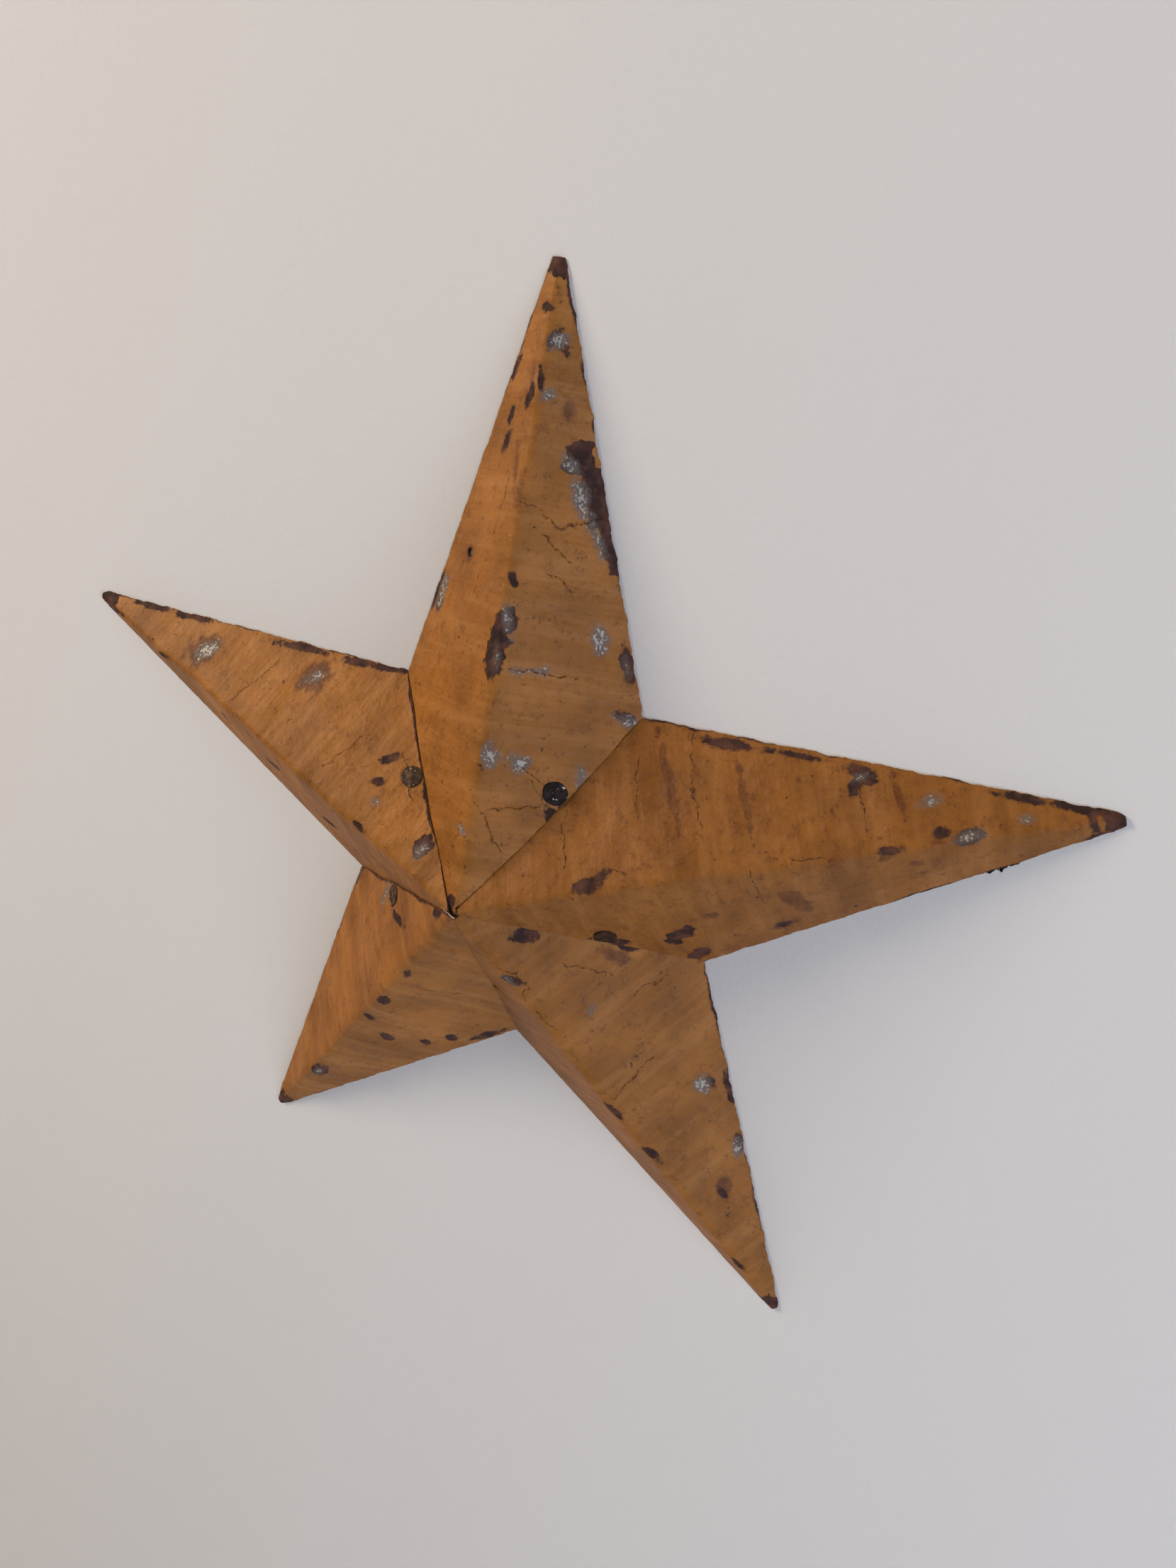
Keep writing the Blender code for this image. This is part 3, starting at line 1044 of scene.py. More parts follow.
@dataclass
class Arm:
    """One folded arm: a sheet bent along its ridge, with a flap under the next arm."""

    lines: StarLines
    hand: HandWork
    index: int
    worn: ArmWear
    rows: int = 440
    half_columns: int = 84
    back_step: int = 7
    flap_columns: int = 8
    contact_gap: float = 0.05 * MM
    ridge_roll: float = 3.4 * MM
    roll_blend: tuple[float, float] = (0.35, 0.6)
    roll_full_width: float = 12 * MM
    roll_least: float = 0.12
    roll_far: float = 0.8
    opening: float = 2.6 * MM
    lap_start: float = 12 * MM
    lap_end: float = 6 * MM
    lap_width: float = 15 * MM
    lap_slant: float = 38.0
    rim_lift: float = 0.35 * MM
    rim_ragged: float = 0.5 * MM
    seam_ragged: float = 0.28 * MM
    curl: float = 0.35 * MM
    corner_cut: float = 0.9 * MM
    corner_fade: float = 3 * MM
    round_length: float = 2 * MM
    notch_blend: float = 2 * MM
    film: float = 0.2 * MM
    lump: float = 0.06 * MM
    pit_depth: float = 3 * MM
    pit_lip: float = 0.4 * MM
    # Radius of the primer colour painted in and round the punched hole: bare metal at its edge and painted
    # shade down the hole
    pit_shade_mm: float = 1.6
    scar_ragged: float = 0.35
    stain_strength: float = 0.9

    @property
    def name(self) -> str:
        """The arm's node name."""
        return self.lines.tips[self.index].arm

    def __post_init__(self) -> None:
        """Looks up the arm's own two facets and its neighbours' lapped facets."""
        self.over = self.lines.facet(self.index, Side.CLOCKWISE)
        self.under = self.lines.facet(self.index, Side.ANTICLOCKWISE)
        self.next_over = self.lines.facet(self.index + 1, Side.CLOCKWISE)
        self.before_under = self.lines.facet(self.index - 1, Side.ANTICLOCKWISE)

    def setbacks(self) -> tuple[float, float]:
        """How far the under half passes its seam before its flap, and how far the over half stops short.

        With the angle a between the two sheets' outward directions, the first is (sheet + gap) / sin a. The
        second is the seam's own opening, at most (gap + sheet cos a) / sin a, past which air would show.

        Returns:
            The two distances, square to the seam.
        """
        reach = self.lines.sheet + self.contact_gap
        fold_cos = float(self.under.normal @ self.next_over.normal)
        edge_cos = float(self.before_under.normal @ self.over.normal)
        fold = reach / math.sqrt(1 - fold_cos**2)
        clear = (self.contact_gap + self.lines.sheet * edge_cos) / math.sqrt(1 - edge_cos**2)
        return fold, min(clear, self.worn.seam_open)

    def end_along(self) -> float:
        """Distance along the ridge where the rims reach the arm's blunt end."""
        outward = self.lines.on_wall(self.lines.tips[self.index].bearing, 1)
        notch = self.lines.notch_place(self.index)
        tip = self.lines.sharp_tip(self.index)
        reach = self.lines.tips[self.index].reach_mm * MM
        share = (reach - notch @ outward) / (tip @ outward - notch @ outward)
        return self.under.notch_along + share * (self.under.tip_along - self.under.notch_along)

    def half_width(self, side: Side, along: np.ndarray) -> np.ndarray:
        """Width of one half at each station, from its ridge to its edge.

        It is the smaller of the seam's line and the rim's line, both made ragged, and rounded off at the
        tip by the square root of 1 - t^2 over the last 2 mm.

        Args:
            side: Which half.
            along: Distances along the ridge.

        Returns:
            The widths.
        """
        facet = self.under if side is Side.ANTICLOCKWISE else self.over
        slant = math.hypot(facet.notch_along, facet.notch_across) / facet.notch_along
        fold, edge = self.setbacks()
        shift = fold if side is Side.ANTICLOCKWISE else -edge
        to_notch = smooth(facet.notch_along - along, 0, 4 * MM)
        seed = Seed.CUT_EDGES + 2 * self.index + (side is Side.CLOCKWISE)
        wobble = self.seam_ragged * uneven(along, seed, 30 * MM, 1.5 * MM) if side is Side.CLOCKWISE else 0
        seam = facet.seam_across(along) + shift * slant * to_notch + wobble
        rim = facet.rim_across(along) - self.rim_lift / abs(float(facet.across[1]))
        rim = rim + self.rim_ragged * uneven(along, seed + 20, 25 * MM, 1.2 * MM)
        if self.worn.burr and side is Side.CLOCKWISE:
            place, size = self.worn.burr
            torn = 0.6 + 0.5 * uneven(along, seed + 40, 5 * MM, 0.9 * MM)
            rim = rim + size * torn * np.exp(-(((along - place) / (1.6 * size)) ** 2))
        from_end = np.clip((along - self.end_along()) / self.round_length + 1, 0, 0.93)
        return np.minimum(seam, rim) * np.sqrt(1 - self.worn.tip_round * from_end**2)

    def surface(self) -> dict[str, np.ndarray]:
        """The outer surface of the folded sheet on a grid of stations and columns.

        With s the signed distance across and w the half's width, long = sqrt(s^2 + b^2) + w - sqrt(w^2 +
        b^2). The two facets' sideways shares are (long + s) / 2 and (long - s) / 2, which rounds the ridge
        over about b and leaves both edges on their lines. b shrinks with the width near the middle of the
        star and blends into 0.8 of its full size half way out. The first rows are pushed outwards near the
        seams, which leaves the ragged star-shaped opening in the middle.

        Returns:
            Grids: points, normals, along and s, and the clearance to the nearest cut edge.
        """
        along = np.linspace(self.opening, self.end_along(), self.rows)
        share = np.linspace(-1, 1, 2 * self.half_columns + 1)
        right = self.half_width(Side.CLOCKWISE, along)
        left = self.half_width(Side.ANTICLOCKWISE, along)
        s = np.where(share < 0, share * right[:, None], share * left[:, None])
        jagged = 0.35 * uneven(share * 4, Seed.CORNERS + self.index, 3, 0.4)
        torn = self.corner_cut * (np.abs(share) ** 2 + jagged)
        pushed = along[:, None] + torn * np.exp(-(along[:, None] - self.opening) / self.corner_fade)
        narrow = np.clip(np.minimum(left, right) / self.roll_full_width, self.roll_least, 1)
        far = smooth(along / along[-1], *self.roll_blend)
        roll = self.ridge_roll * (narrow * (1 - far) + self.roll_far * far)[:, None]
        middle = ((left + right) / 2)[:, None]
        reach = middle + (np.where(share < 0, right[:, None], left[:, None]) - middle) * np.abs(share)
        bow = np.sqrt(s * s + roll * roll)
        long = bow + reach - np.sqrt(reach * reach + roll * roll)
        to_left, to_right = (long + s) / 2, (long - s) / 2
        points = (
            self.over.centre
            + pushed[..., None] * self.over.ridge
            + to_left[..., None] * self.under.across
            + to_right[..., None] * self.over.across
        )
        slope_left, slope_right = (s / bow + 1) / 2, (s / bow - 1) / 2
        sideways = slope_left[..., None] * self.under.across + slope_right[..., None] * self.over.across
        normals = unit(np.cross(self.over.ridge, sideways))
        past_notch_right, past_notch_left = (
            smooth(along, facet.notch_along - self.notch_blend, facet.notch_along)
            for facet in (self.over, self.under)
        )
        # Primer colour shows along the lapped edge where the seam's wear and shade passes 0.9 mm: partly
        # flaked paint, partly painted shade of the seam's gap
        sound = (0.9 * MM - self.worn.seam_wear_and_shade) * (1 - past_notch_right[:, None])
        edge_right = (right[:, None] + s) + sound
        edge_left = (left[:, None] - s) + 40 * MM * (1 - past_notch_left[:, None])
        to_edge = np.minimum(np.where(s < 0, edge_right, 1.0), np.where(s > 0, edge_left, 1.0))
        to_edge = np.minimum(to_edge, (along[-1] - pushed) + 0.1 * MM)
        return {"points": points, "normals": normals, "along": pushed, "s": s, "to_edge": to_edge}

    def wear(self, along_mm: np.ndarray, across_mm: np.ndarray) -> dict[str, np.ndarray]:
        """Fields in millimetres that say where the arm is worn, for the mesh and the paint.

        Args:
            along_mm: Distances along the ridge.
            across_mm: Signed distances from the ridge.

        Returns:
            Fields: chip and zinc distances, negative where the paint has gone, the two crack distances, and
            the strength of stains.
        """
        lumps = blotchy(along_mm, across_mm, Seed.SCARS + self.index, 6)
        fields = {name: np.full(along_mm.shape, FAR_MM) for name in ("chip", "zinc", "crack", "crack_near")}
        # Each arm's even darkening towards the speck colour, under its stains
        fields["stain"] = np.full(along_mm.shape, self.worn.arm_darkening)
        for under, rows in self.worn.scars.items():
            for scar in (Scar(*row) for row in rows):
                away = scar.distance_mm(along_mm, across_mm) + self.scar_ragged * scar.half_width_mm * lumps
                if under is Under.STAIN:
                    strength = self.stain_strength * (1 - smooth(away, -1.6, 1.6))
                    fields["stain"] = np.maximum(fields["stain"], strength)
                else:
                    fields[under.value] = np.minimum(fields[under.value], away)
        # The punched hole: primer colour is painted over the pit and just round it, as bare metal at its
        # torn edge and as painted shade down the hole
        if self.worn.pit:
            away = np.hypot(along_mm - self.worn.pit[0] / MM, across_mm - self.worn.pit[1] / MM)
            fields["chip"] = np.minimum(fields["chip"], 2 * (away - self.pit_shade_mm))
        for crack in (Crack(*row) for row in self.worn.cracks):
            side, away = crack.offsets_mm(along_mm, across_mm)
            closer = away < fields["crack_near"]
            fields["crack"] = np.where(closer, side, fields["crack"])
            fields["crack_near"] = np.where(closer, away, fields["crack_near"])
        return fields

    def build(self, finishes: list[bpy.types.Material]) -> bpy.types.Object:
        """Makes the arm as one closed body: outer and inner surface, flap, rims and ends.

        The inner surface lies one sheet thickness behind the outer one on fewer columns, and the flap is a
        second grid that shares the fold's vertices.

        Args:
            finishes: Paint, sheared edge and inside finishes.

        Returns:
            The arm.
        """
        grid = self.surface()
        rows, columns = grid["s"].shape
        fields = self.wear(grid["along"] / MM, grid["s"] / MM)
        outer = grid["points"] + grid["normals"] * self.relief(grid, fields)[..., None]
        beside_ridge = self.half_columns + np.array([-3, -1, 1, 3])
        picked = np.unique(np.concatenate([np.arange(0, columns, self.back_step), beside_ridge]))
        inner = grid["points"][:, picked] - self.lines.sheet * grid["normals"][:, picked]

        # The flap, from the fold inwards under the next arm
        seam_place = (grid["points"][:, -1] - self.under.centre) @ self.under.seam
        lapped = (seam_place > self.lap_start) & (seam_place < self.under.seam_length - self.lap_end)
        first, last = np.flatnonzero(lapped)[[0, -1]]
        width = (seam_place[first : last + 1] - self.lap_start) * math.tan(math.radians(self.lap_slant))
        width = np.clip(width, 0.5 * MM, self.lap_width)
        reach = np.linspace(0, 1, self.flap_columns + 1)[1:]
        fold_line = grid["points"][first : last + 1, -1]
        flap_outer = fold_line[:, None] + (width[:, None] * reach)[..., None] * self.next_over.inward
        turned = self.under.normal + self.next_over.normal
        corner = turned / (1 + float(self.under.normal @ self.next_over.normal)) * self.lines.sheet
        inner[first : last + 1, -1] = fold_line - corner
        flap_inner = flap_outer - self.lines.sheet * self.next_over.normal

        parts = [part.reshape(-1, 3) for part in (outer, inner, flap_outer, flap_inner)]
        starts = np.cumsum([0] + [len(part) for part in parts])
        front = np.arange(starts[0], starts[1]).reshape(rows, columns)
        back = np.arange(starts[1], starts[2]).reshape(rows, picked.size)
        laps = ((front, starts[2], starts[3]), (back, starts[3], starts[4]))
        lap_front, lap_back = (
            np.hstack([sheet[first : last + 1, -1:], np.arange(a, b).reshape(-1, self.flap_columns)])
            for sheet, a, b in laps
        )

        painted = [grid_quads(front), grid_quads(lap_front)]
        inside = [grid_quads(back)[:, ::-1], grid_quads(lap_back)[:, ::-1]]
        cut = [
            rows_of_quads(back[:, 0], front[:, 0]),
            rows_of_quads(front[: first + 1, -1], back[: first + 1, -1]),
            rows_of_quads(front[last:, -1], back[last:, -1]),
            rows_of_quads(lap_front[:, -1], lap_back[:, -1]),
            rows_of_quads(lap_front[0], lap_back[0]),
            rows_of_quads(lap_back[-1], lap_front[-1]),
        ]
        ends = [
            front[0].tolist() + back[0, ::-1].tolist(),
            back[-1].tolist() + front[-1, ::-1].tolist(),
        ]
        groups = [np.concatenate(painted), np.concatenate(cut), np.concatenate(inside)]
        faces = [quad for group in groups for quad in group.tolist()] + ends
        finish = np.concatenate([np.full(len(group), slot) for slot, group in enumerate(groups)] + [[1, 1]])
        points = self.hand.bend(np.concatenate(parts))
        points[:, 1] = np.minimum(points[:, 1], -0.02 * MM)
        made = new_piece(self.name + "_sheet", points, faces, finishes, finish)
        self.store_fields(made.data, grid, fields, picked, starts)
        return made

    def relief(self, grid: dict[str, np.ndarray], fields: dict[str, np.ndarray]) -> np.ndarray:
        """How far the outer surface stands out of its smooth form, in metres.

        Chips sink by a film's thickness, the over edge curls up a little beside the seam, and the punched
        hole is a steep pit.

        Args:
            grid: The outer surface.
            fields: The wear fields.

        Returns:
            The relief at each point of the grid.
        """
        gone = smooth(-np.minimum(fields["chip"], fields["zinc"] + 0.8), -0.4, 0.4)
        relief = -self.film * gone
        before_notch = smooth(self.over.notch_along - grid["along"], 0, 10 * MM)
        beside = np.exp(-np.clip(grid["to_edge"], 0, 1) / (1.6 * MM)) * (grid["s"] < 0) * before_notch
        waves = 0.55 + 0.45 * uneven(grid["along"], Seed.CURLS + self.index, 40 * MM, 6 * MM)
        relief += self.curl * beside * waves
        relief += self.lump * blotchy(grid["along"], grid["s"], Seed.LUMPS + self.index, 4 * MM)
        if self.worn.pit:
            away = np.hypot(grid["along"] - self.worn.pit[0], grid["s"] - self.worn.pit[1])
            relief += self.pit_lip * np.exp(-((away / (3.2 * MM)) ** 2))
            relief -= self.pit_depth * (1 - smooth(away, 0.8 * MM, 1.8 * MM))
        return relief

    def store_fields(
        self,
        mesh: bpy.types.Mesh,
        grid: dict[str, np.ndarray],
        fields: dict[str, np.ndarray],
        picked: np.ndarray,
        starts: np.ndarray,
    ) -> None:
        """Writes the sheet's own coordinates as a UV map and the wear fields as two vector attributes.

        Args:
            mesh: The arm's mesh.
            grid: The outer surface.
            fields: The wear fields.
            picked: The columns that the inner surface has.
            starts: Where each part's vertices start.
        """
        count = len(mesh.vertices)
        flat = np.zeros((count, 2))
        sheet = np.stack([grid["along"], grid["s"]], -1)
        flat[: starts[1]] = sheet.reshape(-1, 2)
        flat[starts[1] : starts[2]] = sheet[:, picked].reshape(-1, 2)
        corners = np.empty(len(mesh.loops), np.int32)
        mesh.loops.foreach_get("vertex_index", corners)
        layer = mesh.uv_layers.new(name="sheet")
        layer.data.foreach_set("uv", flat[corners].astype(np.float32).ravel())
        wear = (fields["chip"], fields["zinc"], grid["to_edge"] / MM), (FAR_MM, FAR_MM, FAR_MM)
        marks = (fields["crack"], fields["crack_near"], fields["stain"]), (FAR_MM, FAR_MM, 0.0)
        for name, (shown, elsewhere) in (("wear", wear), ("marks", marks)):
            values = np.tile(elsewhere, (count, 1))
            values[: starts[1]] = np.stack(shown, -1).reshape(-1, 3)
            attribute = mesh.attributes.new(name, "FLOAT_VECTOR", "POINT")
            attribute.data.foreach_set("vector", np.clip(values, -9, 9).astype(np.float32).ravel())


ARM_WEAR: dict[str, ArmWear] = {
    "arm_top": ArmWear(
        scars={
            Under.PRIMER: (
                (246, 0, 5.5, 6), (230, 2, 2, 1, 83), (220, -4, 2.6, 1.4, -30), (217, -8, 2.2, 1.2, 40),
                (210, -18, 2.8, 1.2, 22), (199, 4, 3.4, 1.5, -19), (205, -1, 2, 0.8, 10),
                (209, 18, 3, 1, -25), (182, 16, 3.3, 1.5, -30), (192, 16, 2, 1, -20),
                (192, -25, 1.7, 0.9, 22), (180, -21, 6, 5.5, 40), (168, -29, 12, 5.2, 27),
                (155, -37, 14, 3.4, 24), (115, 53, 3, 1.6, -20), (121, 56, 6, 1.2, -22),
                (133, -3, 1.5, 0.9, 42), (108, 0, 12, 4.6, -8), (116, -2, 5.5, 4.8, 10),
                (107, -54, 6.2, 1.9, 22), (87, -57, 2.8, 1.2, 80), (49, -38, 4.5, 2.2, 40),
                (45, -33, 3.4, 2.2, 55), (4, 2, 3, 2),
            ),
            Under.ZINC: (
                (219, -6, 3.6, 2.6, -76), (200, -5, 2, 1.4, -78), (177, -18, 4, 1.6, 50),
                (166, -24, 9, 2.6, 27), (154, -32, 7, 1.5, 33), (120, 52, 7, 3, -20), (118, -3, 5, 1.6, 20),
                (103, -1, 2.5, 1.2), (115, -41, 5.5, 3, 22), (106, -54, 2.5, 0.8, 22),
                (99, -11, 1.8, 0.9, -83), (100, -20, 2.2, 0.9, -83), (85, -60, 5.5, 1.9, 80),
                (66, -5, 4.2, 3.4, 14), (64, -17, 3.8, 3.4, 80), (62, -42, 3.2, 1.8, 12), (58, -44, 2, 1.2),
                (34, 3, 2, 1.2, 60),
            ),
            Under.STAIN: (
                (139, 33, 3.4, 3), (173, 6, 8, 1.6, 10), (165, 1, 7, 1.8), (207, 4, 2.6, 1.2),
                (197, -13, 3.6, 2.2, 20),
            ),
        },
        cracks=(
            (161, -3, 155, -18), (155, -18, 160, -32), (99, -6, 99, -32), (44, -9, 50, -32),
            (50, -29, 57, -24), (27, 7, 35, 4), (133, 38, 139, 36), (149, -13, 143, -22),
            (136, -18, 133, -25), (62, -20, 57, -27), (47, -2, 30, -14), (172, 9, 150, 14),
        ),
        seam_open=0.35 * MM,
        seam_wear_and_shade=0.1 * MM,
        arm_darkening=0.04,
        tip_round=0.1,
        pit=(139 * MM, 32 * MM),
    ),
    "arm_left": ArmWear(
        scars={
            Under.PRIMER: (
                (245, 0, 6, 6), (238, 2, 4, 1.4, 8), (221, -13, 6.5, 1.2, 21), (200, -21, 8, 1.2, 21),
                (141, -43, 9, 1.3, 24), (113, -54, 5.5, 1.5, 27), (98, -61, 7, 1.4, 27),
                (200, 4, 3.6, 1.4, 30), (68, -32, 3.4, 1.3, 55), (65, -21, 2, 1.2, 31), (59, 0, 2.6, 1.4),
                (29, -13, 5, 3.4, 80), (125, 21, 4, 1.4, 20), (94, 40, 4, 1.6, 20), (160, 18, 3, 1, 10),
                (40, -29, 7, 1.4, -38),
            ),
            Under.ZINC: (
                (179, -15, 6, 3.5, 60), (125, -36, 4.5, 2.2, 70), (60, -14, 2, 1.2, 20),
                (29, -11, 3.6, 2.2, 85),
            ),
            Under.STAIN: (
                (181, -13, 9, 7, 60), (125, -36, 9, 6, 75),
            ),
        },
        cracks=(
            (64, -37, 48, -26), (150, -6, 146, -30), (90, -12, 86, -30),
        ),
        seam_open=0.6 * MM,
        seam_wear_and_shade=1.2 * MM,
        arm_darkening=0.0,
    ),
    "arm_lower_left": ArmWear(
        scars={
            Under.PRIMER: (
                (238, 0, 6, 5), (91, -64, 6, 3.2, 10), (74, -58, 20, 2, -38), (52, -22, 4.5, 1.2, -50),
                (90, 4, 3, 2.6), (112, 5, 2.6, 1.3, 60), (59, 4, 2.2, 1.3, 10), (128, 20, 3.6, 2.2, 60),
                (123, 38, 2.2, 1.6, 60), (112, 47, 2.8, 2.2, 40), (100, 60, 7.5, 1.8, -25),
                (184, 5, 5.5, 3.8, 20), (11, -7, 4, 2.2, 20),
            ),
            Under.ZINC: (
                (63, -38, 5.5, 1.6, 30), (186, 5, 3, 1.8, 20),
            ),
        },
        cracks=(
            (78, -5, 82, 3), (140, 4, 136, 18), (70, 12, 66, 30),
        ),
        seam_open=0.7 * MM,
        seam_wear_and_shade=1.9 * MM,
        arm_darkening=0.1,
    ),
    "arm_lower_right": ArmWear(
        scars={
            Under.PRIMER: (
                (246, 0, 5, 5), (39, 3, 3.5, 1.2, 50), (133, 41, 2.4, 1.2), (140, 47, 6, 1.7, -23),
                (166, 35, 3, 1.4, -23), (181, 15, 2, 1), (116, 0, 3.4, 1.6, 20), (144, 1, 4.2, 1.6, 12),
                (218, 0, 2.6, 1, 8), (26, 18, 5, 2.6, 48), (57, 47, 4.2, 1.7, 30),
            ),
            Under.ZINC: (
                (71, 19, 1.8, 0.9, -61), (131, 38, 4.4, 3.4, 17), (168, 33, 4, 2.2, -30),
                (38, 1, 1.6, 0.8, 20),
            ),
            Under.STAIN: (
                (179, 18, 7, 3.5, -51), (59, 42, 6.5, 3.4, 30),
            ),
        },
        cracks=(
            (77, 38, 79, 52), (35, -6, 41, 6), (41, 6, 48, 1), (59, 1, 66, 2), (110, 6, 106, 26),
            (48, 24, 62, 34), (34, 3, 37, 6), (37, 6, 44, 5), (39, 1, 41, 5),
        ),
        seam_open=0.3 * MM,
        seam_wear_and_shade=0.3 * MM,
        arm_darkening=0.14,
    ),
    "arm_right": ArmWear(
        scars={
            Under.PRIMER: (
                (248, 0, 5, 6), (115, 53, 8, 1.6, -21), (140, 44, 4, 0.4, -21), (164, 32, 4.6, 2.6, -40),
                (162, 29, 3.4, 1.6, 60), (218, 14, 5, 0.7, -22), (237, 7, 6.5, 1.1, -22),
                (239, 3, 3.8, 0.8, -83), (197, 2, 4, 2.4, 10), (188, 5, 2, 1.3), (170, 1, 3, 1.5, 3),
                (56, 3, 5.2, 2.9, 8), (60, 6, 3.4, 1.3, 25), (54, -40, 6.4, 2.6, -30),
                (83, -41, 6.6, 3.8, 50), (86, -60, 5.5, 3, 55), (124, -43, 2.6, 1, 20),
                (207, -22, 6.5, 1.2, 20), (241, -6, 3, 1.2, 19),
            ),
            Under.ZINC: (
                (163, 31, 1.8, 1), (187, 18, 3.4, 1.8), (218, 6, 1.6, 0.9), (197, 2, 4.2, 2, 10),
            ),
            Under.STAIN: (
                (180, -17, 3.4, 2.2, 80), (124, -43, 6.5, 3.2, 30), (92, 38, 2, 22, 6),
                (120, 28, 1.6, 17, 4), (176, 22, 1.4, 10, 6), (132, -24, 4, 12, 20),
                (168, -2, 3.2, 2.6, 30), (178, -9, 2.6, 2.2), (186, 2, 2.2, 1.6), (98, -28, 6, 2.4, 25),
            ),
        },
        cracks=(
            (103, 60, 101, 40), (101, 40, 102, 22), (163, 26, 163, 12), (48, 38, 47, 14), (136, 3, 147, 1),
            (60, 6, 69, 9), (118, -2, 120, -22), (80, 52, 78, 30), (60, 6, 65, 9), (65, 9, 70, 8),
        ),
        seam_open=0.15 * MM,
        seam_wear_and_shade=0.1 * MM,
        arm_darkening=0.34,
        burr=(208 * MM, 3.4 * MM),
    ),
}


# --- rivets


@dataclass
class Rivet:
    """A flat-headed rivet through one seam's two sheets, set by hand and so a little out of round."""

    lines: StarLines
    hand: HandWork
    index: int
    finish: RivetFinish
    head_radius: float = 4.75 * MM
    head_height: float = 0.9 * MM
    shank_radius: float = 2.4 * MM
    tail_radius: float = 3.6 * MM
    tail_height: float = 1.6 * MM
    neck: float = 0.1 * MM
    dent: float = 0.1 * MM
    dent_size: float = 2.5 * MM
    steps: int = 56

    @property
    def node(self) -> str:
        """The CAD node that the rivet stands for."""
        return self.lines.notches[self.index].rivet

    def build(self) -> bpy.types.Object:
        """Turns the rivet about its axis, dents it, and sets it in its place.

        The head's outline is a low dome, height h (1 - 0.25 r^2) with a rounded rim, and every radius is
        scaled by 1 + 0.03 sin(2a) + 0.02 sin(5a) round the axis.

        Returns:
            The rivet.
        """
        dome = np.linspace(0.08, 0.9, 9)
        rim = np.radians(np.linspace(15, 90, 5))
        top = self.head_height
        grip = 2 * self.lines.sheet
        tail = np.radians(np.linspace(0, 78, 6))
        radii = np.concatenate(
            [
                self.head_radius * dome,
                self.head_radius * (0.9 + 0.1 * np.sin(rim)),
                [self.head_radius * 0.98, self.shank_radius, self.shank_radius],
                self.tail_radius * np.cos(tail),
            ]
        )
        heights = np.concatenate(
            [
                [top],
                top * (1 - 0.25 * dome**2),
                top * (0.3 + 0.5 * np.cos(rim)),
                [-self.neck, -self.neck, -grip],
                -grip - self.tail_height * (0.1 + 0.9 * np.sin(tail)),
                [-grip - self.tail_height],
            ]
        )
        points, faces = closed_of_revolution(radii, heights, self.steps)
        angle = np.arctan2(points[:, 1], points[:, 0])
        points[:, :2] *= (1 + 0.03 * np.sin(2 * angle + self.index) + 0.02 * np.sin(5 * angle))[:, None]
        dents = blotchy(points[:, 0], points[:, 1], Seed.RIVETS + self.index, self.dent_size)
        points[:, 2] += np.where(points[:, 2] > 0.2 * MM, self.dent * dents, 0)
        facet = self.lines.facet(self.index + 1, Side.CLOCKWISE)
        frame_of_rivet = np.stack([facet.seam, np.cross(facet.normal, facet.seam), facet.normal])
        placed = self.hand.rivet_place(self.index) + points @ frame_of_rivet
        return new_piece(self.node + "_set", self.hand.bend(placed), faces, [self.finish.make()])


# --- apex


